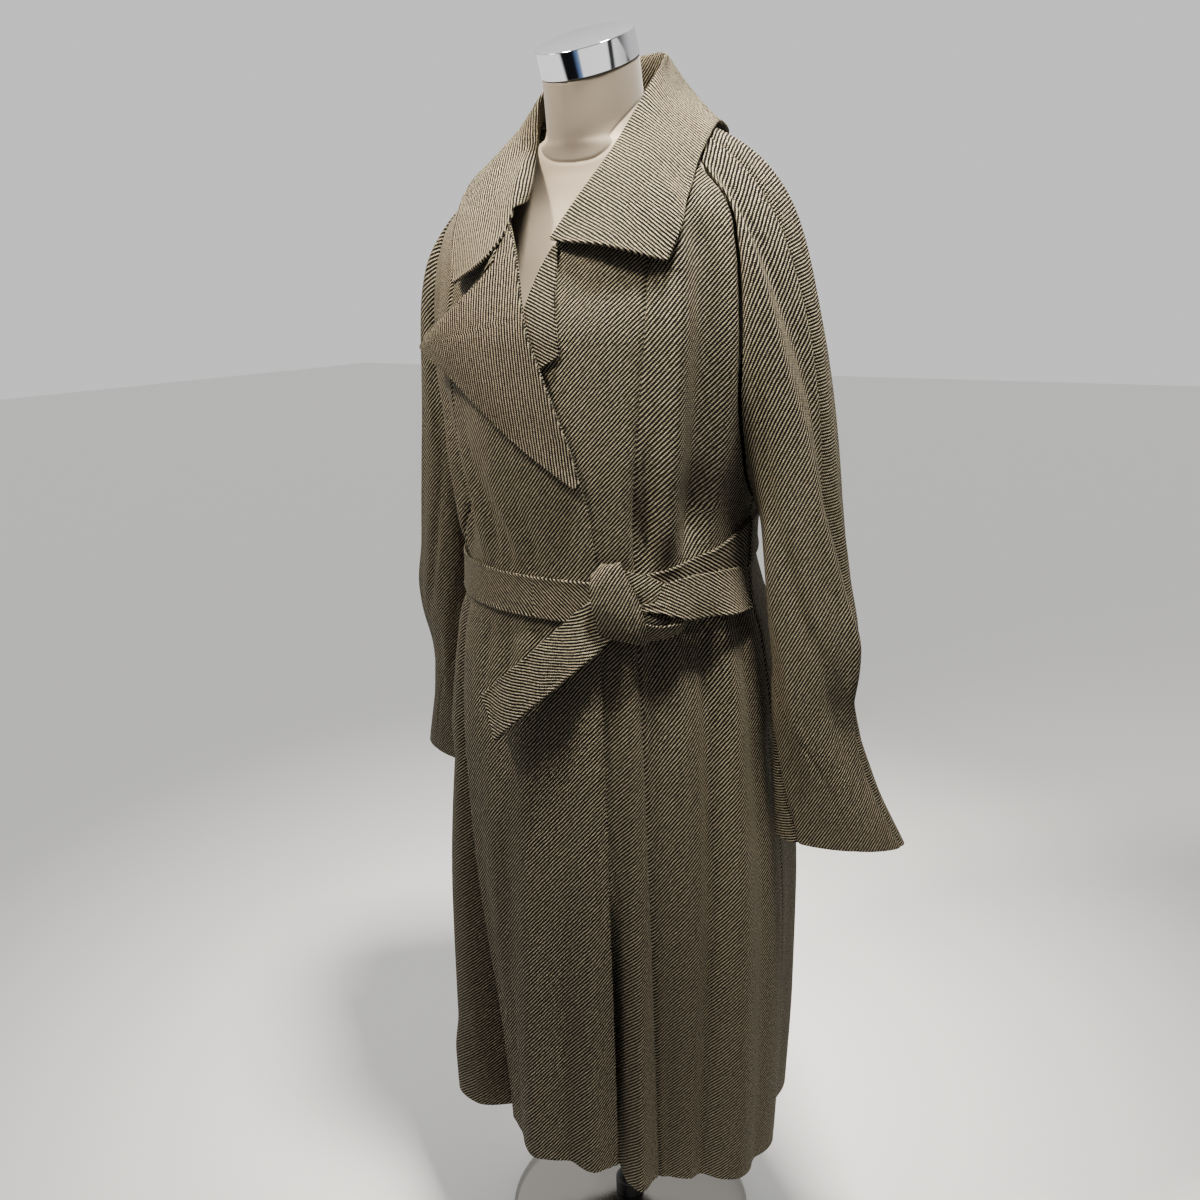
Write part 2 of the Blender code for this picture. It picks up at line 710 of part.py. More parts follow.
def loop_strip(angle):
    """A belt loop: fixed to the side seam above and below the band, and passing over it."""
    middle = float(belt_height(np.array(np.radians(angle))))
    under = SKIN_GAP + LOOP_CLOTH + BELT_SLACK / 2
    over = under + SKIN_GAP + DOUBLE_CLOTH + BELT_SLACK
    reach = BELT_WIDTH / 2 + 0.012
    return [
        Strip(0.0, angle, middle - reach, under),
        Strip(0.12, angle, middle - reach + 0.004, under),
        Strip(0.24, angle, middle - reach + 0.011, over),
        Strip(0.76, angle, middle + reach - 0.011, over),
        Strip(0.88, angle, middle + reach - 0.004, under),
        Strip(1.0, angle, middle + reach, under),
    ]


def knot(u, v):
    """Surface of the knot, u along it from the wearer's right to the left and v round it."""
    along = mix(KNOT[0].along, KNOT[-1].along, u)
    turn = 2 * np.pi * v
    angle = np.radians(KNOT_ANGLE)
    centre = body(np.array(angle), np.array(KNOT_HEIGHT), KNOT_LIFT)
    sideways = np.array([np.cos(angle), np.sin(angle), 0])
    outward = np.array([np.sin(angle), -np.cos(angle), 0])
    high = smooth(KNOT, "half_height", along) * np.cos(turn) + smooth(KNOT, "drop", along)
    deep = smooth(KNOT, "half_depth", along) * np.sin(turn)
    leaning = along + KNOT_LEAN * high
    flat = leaning[..., None] * sideways + deep[..., None] * outward
    return centre + flat + np.stack([0 * u, 0 * u, high], -1)


# Dress form

def torso(u, v):
    """Surface of the form, u up it and v round it."""
    height = mix(TORSO[0].height, TORSO[-1].height, u)
    turn = 2 * np.pi * v
    x = smooth(TORSO, "half_width", height) * np.sin(turn)
    deep = smooth(TORSO, "half_depth", height) * np.cos(turn)
    lean = np.radians(smooth(TORSO, "tilt", height))
    y = smooth(TORSO, "y", height) - deep * np.cos(lean)
    z = height - deep * np.sin(lean)
    return np.stack([x, y, z], -1)


# Building


def material_of(name):
    material = bpy.data.materials.new(name)
    colour, roughness, metallic = MATERIALS[name]
    material.use_nodes = True
    shader = material.node_tree.nodes["Principled BSDF"]
    shader.inputs["Base Color"].default_value = (*colour, 1.0)
    shader.inputs["Roughness"].default_value = roughness
    shader.inputs["Metallic"].default_value = metallic
    material.diffuse_color = (*colour, 1.0)
    return material


def add_object(name, mesh, material):
    data = bpy.data.meshes.new(name)
    mesh.to_mesh(data)
    mesh.free()
    data.materials.append(material)
    for face in data.polygons:
        face.use_smooth = True
    made = bpy.data.objects.new(name, data)
    bpy.data.collections[COLLECTION].objects.link(made)
    return made


def normals(surface, u, v, facing):
    """Unit normals of a surface, from small steps each way."""
    step = 1e-4
    across = surface(u + step, v) - surface(u - step, v)
    up = surface(u, v + step) - surface(u, v - step)
    normal = np.cross(across, up) * facing
    return normal / np.linalg.norm(normal, axis=-1, keepdims=True)


def even(steps):
    return np.linspace(0, 1, steps + 1)


def grid_on(surface, columns, rows):
    """A grid laid on a surface, with its vertices in rows of u, and each vertex's u and v."""
    mesh = bmesh.new()
    bmesh.ops.create_grid(mesh, x_segments=len(columns) - 1, y_segments=len(rows) - 1, size=1)
    v, u = np.meshgrid(rows, columns, indexing="ij")
    for vert, point in zip(mesh.verts, surface(u, v).reshape(-1, 3)):
        vert.co = point
    return mesh, u, v


def wall(name, surface, columns, rows, thickness, material, facing=1):
    """A closed wall whose outer face follows a surface, with its thickness inwards."""
    mesh, u, v = grid_on(surface, columns, rows)
    outer = list(mesh.verts)
    inward = normals(surface, u, v, -facing).reshape(-1, 3) * thickness
    made = bmesh.ops.extrude_face_region(mesh, geom=mesh.faces[:])["geom"]
    inner = [item for item in made if isinstance(item, bmesh.types.BMVert)]
    step_of = {tuple(vert.co): step for vert, step in zip(outer, inward)}
    for vert in inner:
        vert.co += mathutils.Vector(step_of[tuple(vert.co)])
    bmesh.ops.recalc_face_normals(mesh, faces=mesh.faces)
    return add_object(name, mesh, material)


def round_wall(name, surface, columns, rows, thickness, material):
    """A wall that closes on itself: the same, with its first and last columns joined."""
    made = wall(name, surface, columns, rows, thickness, material)
    mesh = bmesh.new()
    mesh.from_mesh(made.data)
    on_cut = {vert for vert in mesh.verts if abs(vert.co.x) < MERGE and vert.co.y < 0}
    ends = [face for face in mesh.faces if on_cut.issuperset(face.verts)]
    bmesh.ops.delete(mesh, geom=ends, context="FACES")
    bmesh.ops.remove_doubles(mesh, verts=mesh.verts, dist=MERGE)
    bmesh.ops.recalc_face_normals(mesh, faces=mesh.faces)
    mesh.to_mesh(made.data)
    mesh.free()
    return made


def solid_of_rings(name, surface, along, around, material):
    """A solid from a surface that closes round v, capped at both ends of u."""
    mesh, _, _ = grid_on(surface, along, even(around))
    bmesh.ops.remove_doubles(mesh, verts=mesh.verts, dist=MERGE)
    rims = [edge for edge in mesh.edges if edge.is_boundary]
    bmesh.ops.holes_fill(mesh, edges=rims, sides=around)
    bmesh.ops.recalc_face_normals(mesh, faces=mesh.faces)
    return add_object(name, mesh, material)


def turned(name, profile, steps, material):
    """A solid turned round its z axis from (radius, height) points, listed down its outer side."""
    mesh = bmesh.new()
    verts = [mesh.verts.new((radius, 0, height)) for radius, height in profile]
    for pair in zip(verts, verts[1:]):
        mesh.edges.new(pair)
    made = add_object(name, mesh, material)
    screw = made.modifiers.new("turn", "SCREW")
    screw.steps = steps
    screw.render_steps = steps
    screw.use_merge_vertices = True
    screw.merge_threshold = MERGE
    return made


def cylinder(name, radius, low, high, sides, material):
    mesh = bmesh.new()
    place = mathutils.Matrix.Translation((0, 0, (low + high) / 2))
    sizes = {"segments": sides, "radius1": radius, "radius2": radius, "depth": high - low}
    bmesh.ops.create_cone(mesh, cap_ends=True, matrix=place, **sizes)
    return add_object(name, mesh, material)


def build_form():
    cloth = material_of("form_cloth")
    chrome = material_of("chrome")
    dome = [
        (BASE_RADIUS * np.cos(part), BASE_EDGE + BASE_DOME * np.sin(part))
        for part in np.linspace(np.pi / 2, 0, 7)[1:]
    ]
    base_top = BASE_EDGE + BASE_DOME
    turned("form_base", [(0, base_top)] + dome + [(BASE_RADIUS, 0), (0, 0)], 48, chrome)
    foot = base_top + SEAM_GAP
    pole_top = TORSO[0].height - SEAM_GAP
    cylinder("form_pole", POLE_RADIUS, foot, pole_top, 24, material_of("pole_steel"))
    inner = POLE_RADIUS + SEAM_GAP
    ring_top = foot + RING_HEIGHT
    ring = [
        (inner, ring_top),
        (RING_RADIUS - RING_BEVEL, ring_top),
        (RING_RADIUS, ring_top - RING_BEVEL),
        (RING_RADIUS, foot),
        (inner, foot),
        (inner, ring_top),
    ]
    turned("form_pole_ring", ring, 32, material_of("black_ring"))
    ring_heights = [row.height for row in TORSO]
    between = [mix(low, high, 0.5) for low, high in zip(ring_heights, ring_heights[1:])]
    heights = np.array(sorted(ring_heights + between[2:]))
    along = (heights - heights[0]) / (heights[-1] - heights[0])
    solid_of_rings("form_torso", torso, along, 28, cloth)
    lean = np.radians(CAP_TILT)
    cap_side = [
        (0, CAP_HEIGHT),
        (CAP_RADIUS - CAP_BEVEL, CAP_HEIGHT),
        (CAP_RADIUS, CAP_HEIGHT - CAP_BEVEL),
        (CAP_RADIUS, 0),
        (0, 0),
    ]
    cap = turned("form_neck_cap", cap_side, 36, chrome)
    cap.rotation_euler = (lean, 0, 0)
    off = SEAM_GAP * np.array([0, -np.sin(lean), np.cos(lean)])
    cap.location = np.array([0, TORSO[-1].y, TORSO[-1].height]) + off


def sleeve_columns(first, last):
    """Shares of a sleeve piece's width that meet the body's grid lines along the raglan seam."""
    down = [(NECK_SIDE - height) / (NECK_SIDE - UNDERARM) for height in SEAM_HEIGHTS]
    turns = [180 * mix(NECK_SHARE, 1, part) for part in down]
    marks = [first, last, 360] + turns + [360 - turn for turn in turns]
    return sorted({round((mark - first) / (last - first), 6) for mark in marks if first <= mark <= last})


def build_coat():
    twill = material_of("twill")
    up_to_front = PANEL_HEIGHTS[:-1]
    hems = (LEFT_EDGE_HEM, 0.215, 0.228, BACK_HEM, 0.238, RIGHT_EDGE_HEM)
    left_front = panel(left_edge, left_princess, hems[0:2])
    left_side_front = panel(left_princess, left_side, hems[1:3])
    back = panel(back_left, back_right, hems[2:4])
    right_side_front = panel(right_side, right_princess, hems[3:5])
    right_front = panel(right_princess, right_edge, hems[4:6], overlap)
    wall("left_front", left_front, even(12), up_to_front, CLOTH, twill)
    wall("left_side_front", left_side_front, even(10), PANEL_HEIGHTS, CLOTH, twill)
    wall("back", back, even(24), PANEL_HEIGHTS, CLOTH, twill)
    wall("right_side_front", right_side_front, TO_SEAM, PANEL_HEIGHTS, CLOTH, twill)
    wall("right_front", right_front, FROM_SEAM, up_to_front, CLOTH, twill)
    for side, word in ((1, "left"), (-1, "right")):
        front = sleeve(side, stepped(overarm, 1), stepped(underarm, -1))
        back = sleeve(side, stepped(underarm, 1), stepped(overarm_round, -1))
        front_columns = sleeve_columns(OVERARM_SEAM, 180)
        back_columns = sleeve_columns(180, OVERARM_SEAM + 360)
        wall(f"{word}_sleeve_front", front, front_columns, ARM_ROWS, CLOTH, twill, facing=side)
        wall(f"{word}_sleeve_back", back, back_columns, ARM_ROWS, CLOTH, twill, facing=side)
    wall("collar", collar, even(28), COLLAR_ROWS, DOUBLE_CLOTH, twill, facing=-1)
    right_lapel = lapel(RIGHT_LAPEL, right_edge, overlap)
    left_lapel = lapel(LEFT_LAPEL, left_edge, no_lift)
    wall("right_lapel", right_lapel, even(15), even(7), DOUBLE_CLOTH, twill, facing=-1)
    wall("left_lapel", left_lapel, even(9), even(4), DOUBLE_CLOTH, twill)
    round_wall("belt_band", belt, even(64), even(2), DOUBLE_CLOTH, twill)
    right_end = strip(BELT_END_RIGHT, BELT_WIDTH)
    left_end = strip(BELT_END_LEFT, BELT_WIDTH)
    wall("belt_end_right", right_end, even(12), even(3), DOUBLE_CLOTH, twill, facing=-1)
    wall("belt_end_left", left_end, even(12), even(3), DOUBLE_CLOTH, twill)
    for angle, word in ((LOOP_ANGLE, "left"), (-LOOP_ANGLE, "right")):
        loop = strip(loop_strip(angle), LOOP_WIDTH)
        wall(f"belt_loop_{word}", loop, even(12), even(1), LOOP_CLOTH, twill)
    solid_of_rings("belt_knot", knot, even(12), 18, twill)


for stale in list(bpy.data.objects):
    bpy.data.objects.remove(stale)
bpy.context.scene.collection.children.link(bpy.data.collections.new(COLLECTION))
build_form()
build_coat()
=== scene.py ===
import math
import bmesh
import bpy
import numpy as np
from mathutils import Matrix, Vector


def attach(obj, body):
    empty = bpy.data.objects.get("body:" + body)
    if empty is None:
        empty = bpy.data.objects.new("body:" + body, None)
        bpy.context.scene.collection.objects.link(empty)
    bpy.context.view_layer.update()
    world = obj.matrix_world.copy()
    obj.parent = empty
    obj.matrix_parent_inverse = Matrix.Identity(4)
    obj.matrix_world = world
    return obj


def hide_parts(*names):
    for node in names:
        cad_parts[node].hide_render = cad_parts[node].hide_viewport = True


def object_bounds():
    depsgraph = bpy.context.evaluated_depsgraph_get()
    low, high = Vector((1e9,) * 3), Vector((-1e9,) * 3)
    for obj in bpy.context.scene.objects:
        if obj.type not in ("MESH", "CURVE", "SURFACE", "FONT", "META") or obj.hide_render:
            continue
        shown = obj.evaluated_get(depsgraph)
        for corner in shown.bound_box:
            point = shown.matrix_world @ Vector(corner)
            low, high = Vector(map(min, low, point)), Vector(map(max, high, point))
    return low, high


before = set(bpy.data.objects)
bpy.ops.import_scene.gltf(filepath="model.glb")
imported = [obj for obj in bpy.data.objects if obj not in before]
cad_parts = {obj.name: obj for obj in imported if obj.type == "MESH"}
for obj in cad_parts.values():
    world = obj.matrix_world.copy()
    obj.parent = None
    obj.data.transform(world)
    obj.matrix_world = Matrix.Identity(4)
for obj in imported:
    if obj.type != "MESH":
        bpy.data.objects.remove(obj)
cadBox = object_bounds()
print("frame loaded with", len(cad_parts), "solids")


# camera, light and floor

view = {
    "place": (0.7684, -1.2297, 1.369),  # metres
    "heading": 33.057,  # degrees from the front, towards the wearer's left
    "down": 15.68,
    "roll": -1.234,
    "lens": 34.44,  # mm, on a sensor 36 mm wide
    "sensor": 36,
    "clip": (0.05, 60),
}

studio = {
    "floor": "#F0EFEC",
    "floorRoughness": 0.7,
    "floorReach": 14,  # metres from the stand to the floor's edge
    "wall": (0.80, 0.09),  # strength of the lit wall behind the coat and of the room in front of it
    "wallWay": (-0.55, 0.84, 0.0),
    "wallEdge": (-0.35, 0.45),  # where the room starts to turn into the wall, and where it is all wall
    "ceiling": 0.42,
    "ceilingEdge": (0.30, 0.75),
    "key": {"place": (-0.45, -0.95, 2.50), "aim": (0.02, -0.1, 1.52), "size": 0.24, "watts": 7.5,
            "spread": 50, "colour": "#FFF4E4"},
    "fill": {"place": (-1.6, -1.2, 2.6), "aim": (0.0, 0.0, 1.3), "size": 0.5, "watts": 1.5,
             "spread": 70, "colour": "#FFF8F0"},
    "top": {"place": (0.48, -0.30, 2.85), "aim": (0.14, 0.0, 1.5), "size": 0.26, "watts": 18,
            "spread": 52, "colour": "#FFF9EF"},
}

reflector = {
    "radius": 1.1, "heights": (0.45, 1.70),  # metres
    "turns": (-140, 150), "steps": 60, "strength": 1.5,
    # degrees round from the front and colour, the two ends first
    "stripes": [(-140, "#F4F4F2"), (150, "#9A9A98"), (-34, "#FFFFFF"), (-27, "#0A0A0B"), (0, "#131417"),
                (4, "#3A4A66"), (13, "#6F86AA"), (16, "#F6F6F4"), (76, "#FFFFFF"), (80, "#1A1A1B"),
                (87, "#3A3A3A"), (91, "#E8E8E6"), (116, "#C4C4C2"), (124, "#55534F")],
}


def toLinear(hexColour):
    parts = [int(hexColour[i:i + 2], 16) / 255 for i in (1, 3, 5)]
    return [p / 12.92 if p <= 0.04045 else ((p + 0.055) / 1.055) ** 2.4 for p in parts] + [1.0]


def addNode(tree, kind, links=(), **settings):
    # one node with its settings; links are (input, socket or value)
    node = tree.nodes.new(kind)
    for name, value in settings.items():
        setattr(node, name, value)
    for name, value in links:
        if isinstance(value, bpy.types.NodeSocket):
            tree.links.new(value, node.inputs[name])
        else:
            node.inputs[name].default_value = value
    return node


def number(tree, operation, *values):
    # a sum on one to three numbers
    return addNode(tree, "ShaderNodeMath", enumerate(values), operation=operation).outputs[0]


def vector(tree, operation, *links):
    return addNode(tree, "ShaderNodeVectorMath", links, operation=operation).outputs


def ranged(tree, value, source, target, kind="LINEAR"):
    # a value between the source's ends as one between the target's ends
    ends = zip(("From Min", "From Max", "To Min", "To Max"), (*source, *target))
    node = addNode(tree, "ShaderNodeMapRange", [("Value", value), *ends], interpolation_type=kind)
    return node.outputs["Result"]


def noise(tree, where, scale, detail, roughness=0.5):
    links = [("Vector", where), ("Scale", scale), ("Detail", detail), ("Roughness", roughness)]
    return addNode(tree, "ShaderNodeTexNoise", links).outputs


def addBump(tree, shader, height, strength, distance):
    links = [("Height", height), ("Strength", strength), ("Distance", distance)]
    bump = addNode(tree, "ShaderNodeBump", links)
    tree.links.new(bump.outputs["Normal"], shader.inputs["Normal"])


def newMaterial(name):
    material = bpy.data.materials.new(name)
    material.use_nodes = True
    return material, material.node_tree, material.node_tree.nodes["Principled BSDF"]


def makeCamera():
    data = bpy.data.cameras.new("camera")
    data.lens = view["lens"]
    data.sensor_width = view["sensor"]
    data.clip_start, data.clip_end = view["clip"]
    camera = bpy.data.objects.new("camera", data)
    bpy.context.scene.collection.objects.link(camera)
    turn, down, roll = (math.radians(view[key]) for key in ("heading", "down", "roll"))
    look = Vector((-math.sin(turn) * math.cos(down), math.cos(turn) * math.cos(down), -math.sin(down)))
    rotation = look.to_track_quat("-Z", "Y").to_matrix() @ Matrix.Rotation(roll, 3, "Z")
    camera.matrix_world = Matrix.Translation(view["place"]) @ rotation.to_4x4()
    bpy.context.scene.camera = camera


def makeLight(name, values):
    data = bpy.data.lights.new(name, "AREA")
    data.shape = "SQUARE"
    data.size = values["size"]
    data.energy = values["watts"]
    data.spread = math.radians(values["spread"])
    data.color = toLinear(values["colour"])[:3]
    light = bpy.data.objects.new(name, data)
    light.location = values["place"]
    way = Vector(values["aim"]) - Vector(values["place"])
    light.rotation_euler = way.to_track_quat("-Z", "Y").to_euler()
    bpy.context.scene.collection.objects.link(light)


def makeStudio():
    world = bpy.data.worlds.new("studio")
    bpy.context.scene.world = world
    world.use_nodes = True
    tree = world.node_tree
    way = addNode(tree, "ShaderNodeTexCoord").outputs["Generated"]
    facing = vector(tree, "DOT_PRODUCT", (0, way), (1, studio["wallWay"]))["Value"]
    up = addNode(tree, "ShaderNodeSeparateXYZ", [("Vector", way)]).outputs["Z"]
    wall, room = studio["wall"]
    wallLight = ranged(tree, facing, studio["wallEdge"], (room, wall), "SMOOTHSTEP")
    ceilingLight = ranged(tree, up, studio["ceilingEdge"], (0.0, studio["ceiling"]), "SMOOTHSTEP")
    both = number(tree, "ADD", wallLight, ceilingLight)
    tree.nodes["Background"].inputs["Color"].default_value = (1, 1, 1, 1)
    tree.links.new(both, tree.nodes["Background"].inputs["Strength"])
    for name in ("key", "fill", "top"):
        makeLight(name, studio[name])
    mesh = bmesh.new()
    bmesh.ops.create_grid(mesh, x_segments=1, y_segments=1, size=studio["floorReach"])
    floor = meshObject("floor", mesh)
    material, tree, shader = newMaterial("painted floor")  # matt off-white paint
    shader.inputs["Base Color"].default_value = toLinear(studio["floor"])
    shader.inputs["Roughness"].default_value = studio["floorRoughness"]
    floor.data.materials.append(material)
    floor.location.z = cadBox[0].z
    makeReflector()


def makeReflector():
    # a striped screen that only shows in polished metal
    mesh = bmesh.new()
    radius = reflector["radius"]
    turns = np.radians(np.linspace(*reflector["turns"], reflector["steps"]))
    rows = [[mesh.verts.new((radius * math.sin(turn), -radius * math.cos(turn), height)) for turn in turns]
            for height in reflector["heights"]]
    uv = mesh.loops.layers.uv.new("screen")
    for i in range(len(turns) - 1):
        face = mesh.faces.new((rows[0][i], rows[1][i], rows[1][i + 1], rows[0][i + 1]))
        for loop, u in zip(face.loops, (i, i, i + 1, i + 1)):
            loop[uv].uv = (u / (len(turns) - 1), 0.5)
    screen = meshObject("reflector", mesh)
    material = bpy.data.materials.new("striped screen")  # paper strips on a lit frame
    material.use_nodes = True
    tree = material.node_tree
    tree.nodes.clear()
    where = addNode(tree, "ShaderNodeUVMap", uv_map="screen").outputs["UV"]
    across = addNode(tree, "ShaderNodeSeparateXYZ", [("Vector", where)]).outputs["X"]
    stripes = addNode(tree, "ShaderNodeValToRGB", [("Fac", across)])
    ramp = stripes.color_ramp
    first, last = reflector["turns"]
    for index, (turn, colour) in enumerate(reflector["stripes"]):
        place = (turn - first) / (last - first)
        stop = ramp.elements[index] if index < 2 else ramp.elements.new(place)
        stop.position, stop.color = place, toLinear(colour)
    glow = addNode(tree, "ShaderNodeEmission", [("Color", stripes.outputs["Color"]),
                                                 ("Strength", reflector["strength"])])
    addNode(tree, "ShaderNodeOutputMaterial", [("Surface", glow.outputs["Emission"])])
    screen.data.materials.append(material)
    screen.visible_camera = screen.visible_diffuse = screen.visible_shadow = False


def meshObject(name, mesh):
    data = bpy.data.meshes.new(name)
    mesh.to_mesh(data)
    mesh.free()
    made = bpy.data.objects.new(name, data)
    bpy.context.scene.collection.objects.link(made)
    return made


makeCamera()
makeStudio()
print("camera, lights and floor made")


# materials

twill = {
    # from the near-black warp to the cream weft of the wales, and where each starts on the relief
    "yarns": [("#060504", 0.49), ("#120F0B", 0.58), ("#4A4436", 0.66), ("#90866F", 0.79)],
    "wale": 3.5,  # mm from one diagonal line to the next
    "thread": 2.0,  # mm along a wale from one float to the next
    "angle": 45.0,  # degrees of the wales from the weft
    "lean": 1.1,  # how far the floats lean across their wale
    "float": 0.42,  # height of a float against its wale
    "hair": (900.0, 1.44),  # scale and strength of the loose fibres
    "slub": (260.0, 1.3),  # scale and strength of uneven yarn
    "waver": (55.0, 0.0016),  # scale, and metres that the wales wander
    "relief": 2.9,  # sum of the waves, hair and slub that counts as full relief
    "bump": (0.55, 0.0009),  # strength, metres
    "roughness": 0.88, "specular": 0.1, "sheen": 0.02, "sheenRoughness": 0.5, "sheenTint": "#D9CFB8",
}


def turnsOf(tree, distance, millimetres):
    # a distance in metres as an angle that comes round once in so many millimetres
    return number(tree, "MULTIPLY", distance, 2 * math.pi / (millimetres / 1000))


def makeTwill():
    # heavy wool twill: hairy, matt, cream floats in rows over dark threads
    material, tree, shader = newMaterial("wool twill")
    cloth = addNode(tree, "ShaderNodeUVMap", uv_map="cloth").outputs["UV"]
    waverScale, reach = twill["waver"]
    hairScale, hair = twill["hair"]
    slubScale, slub = twill["slub"]
    wander = noise(tree, cloth, waverScale, 2.0)["Color"]
    shift = vector(tree, "SUBTRACT", (0, wander), (1, (0.5, 0.5, 0.5)))["Vector"]
    small = vector(tree, "SCALE", (0, shift), ("Scale", reach))["Vector"]
    place = vector(tree, "ADD", (0, cloth), (1, small))["Vector"]
    turn = (0, 0, math.radians(-twill["angle"]))
    turned = addNode(tree, "ShaderNodeMapping", [("Vector", place), ("Rotation", turn)]).outputs["Vector"]
    parts = addNode(tree, "ShaderNodeSeparateXYZ", [("Vector", turned)]).outputs
    waleTurn = turnsOf(tree, parts["Y"], twill["wale"])
    # floats lean across the wale, so the line reads as a row of short slanted stitches
    floatBase = turnsOf(tree, parts["X"], twill["thread"])
    floatTurn = number(tree, "MULTIPLY_ADD", waleTurn, twill["lean"], floatBase)
    fibres = noise(tree, cloth, hairScale, 3.0, 0.7)["Fac"]
    yarn = noise(tree, cloth, slubScale, 2.0)["Fac"]
    wale, stitch = number(tree, "SINE", waleTurn), number(tree, "SINE", floatTurn)
    height = number(tree, "MULTIPLY_ADD", stitch, twill["float"], wale)
    rough = number(tree, "MULTIPLY_ADD", fibres, hair, height)
    uneven = number(tree, "MULTIPLY_ADD", yarn, slub, rough)
    share = ranged(tree, uneven, (0.0, twill["relief"]), (0.0, 1.0))
    colours = addNode(tree, "ShaderNodeValToRGB", [("Fac", share)])
    ramp = colours.color_ramp
    darkest, *between, palest = twill["yarns"]
    for stop, (colour, start) in zip(list(ramp.elements), (darkest, palest)):
        stop.position, stop.color = start, toLinear(colour)
    for colour, start in between:
        ramp.elements.new(start).color = toLinear(colour)
    tree.links.new(colours.outputs["Color"], shader.inputs["Base Color"])
    addBump(tree, shader, rough, *twill["bump"])
    shader.inputs["Roughness"].default_value = twill["roughness"]
    shader.inputs["Specular IOR Level"].default_value = twill["specular"]
    shader.inputs["Sheen Weight"].default_value = twill["sheen"]
    shader.inputs["Sheen Roughness"].default_value = twill["sheenRoughness"]
    shader.inputs["Sheen Tint"].default_value = toLinear(twill["sheenTint"])
    return material


jersey = {
    # the neck's colour is partly its own greige and partly painted shade, darker than the torso for the shade
    # the neck stands in
    "neck": "#544A3C", "torso": "#827562",
    "knit": 900.0, "cloud": 9.0,  # scales of the knit and of the faint patches
    "knitShare": 0.5, "tones": (0.90, 1.08),
    "bump": (0.25, 0.0004), "roughness": 0.8, "sheen": 0.15,
}


def makeJersey(name, colour):
    # cotton jersey stretched over the form: fine knit, almost flat
    material, tree, shader = newMaterial(name)
    where = addNode(tree, "ShaderNodeTexCoord").outputs["Object"]
    knit = noise(tree, where, jersey["knit"], 2.0)["Fac"]
    cloud = noise(tree, where, jersey["cloud"], 3.0)["Fac"]
    both = number(tree, "MULTIPLY_ADD", knit, jersey["knitShare"], cloud)
    tone = ranged(tree, both, (0.4, 1.1), jersey["tones"])
    base = vector(tree, "SCALE", (0, toLinear(colour)[:3]), ("Scale", tone))["Vector"]
    tree.links.new(base, shader.inputs["Base Color"])
    addBump(tree, shader, knit, *jersey["bump"])
    shader.inputs["Roughness"].default_value = jersey["roughness"]
    shader.inputs["Sheen Weight"].default_value = jersey["sheen"]
    return material


# colour, roughness, how much rougher the wiping marks are
metals = {
    "chrome plate": ("#DDDDE0", 0.05, 0.05),  # bright plating of the neck cap
    "polished steel": ("#7E7B76", 0.10, 0.06),  # mirror-like base of the stand
    # the pole's colour is far darker than bare steel: painted shade for the shade it stands in inside the
    # coat
    "satin steel with painted shade": ("#4E4E50", 0.34, 0.10),  # drawn tube of the pole
}
nylon = {"colour": "#101011", "roughness": 0.42, "grain": 400.0, "bump": (0.1, 0.0003)}


def makeMetal(name):
    # metal with faint wiping marks in the gloss
    colour, roughness, marks = metals[name]
    material, tree, shader = newMaterial(name)
    where = addNode(tree, "ShaderNodeTexCoord").outputs["Object"]
    gloss = ranged(tree, noise(tree, where, 35.0, 4.0)["Fac"], (0.3, 0.7), (roughness, roughness + marks))
    tree.links.new(gloss, shader.inputs["Roughness"])
    shader.inputs["Base Color"].default_value = toLinear(colour)
    shader.inputs["Metallic"].default_value = 1.0
    return material


def makeNylon():
    # moulded nylon: satin black with a fine grain
    material, tree, shader = newMaterial("moulded nylon")
    where = addNode(tree, "ShaderNodeTexCoord").outputs["Object"]
    addBump(tree, shader, noise(tree, where, nylon["grain"], 2.0)["Fac"], *nylon["bump"])
    shader.inputs["Base Color"].default_value = toLinear(nylon["colour"])
    shader.inputs["Roughness"].default_value = nylon["roughness"]
    return material


woolTwill = makeTwill()
# the neck's cover: its own greige with painted shade
neckJerseyPaintedShade = makeJersey("greige cotton jersey with painted shade", jersey["neck"])
torsoJersey = makeJersey("cream cotton jersey", jersey["torso"])
chromePlate, polishedSteel, satinSteelPaintedShade = (makeMetal(name) for name in metals)
blackNylon = makeNylon()
print("materials made")


# shape of the coat's body: one surface round the z axis

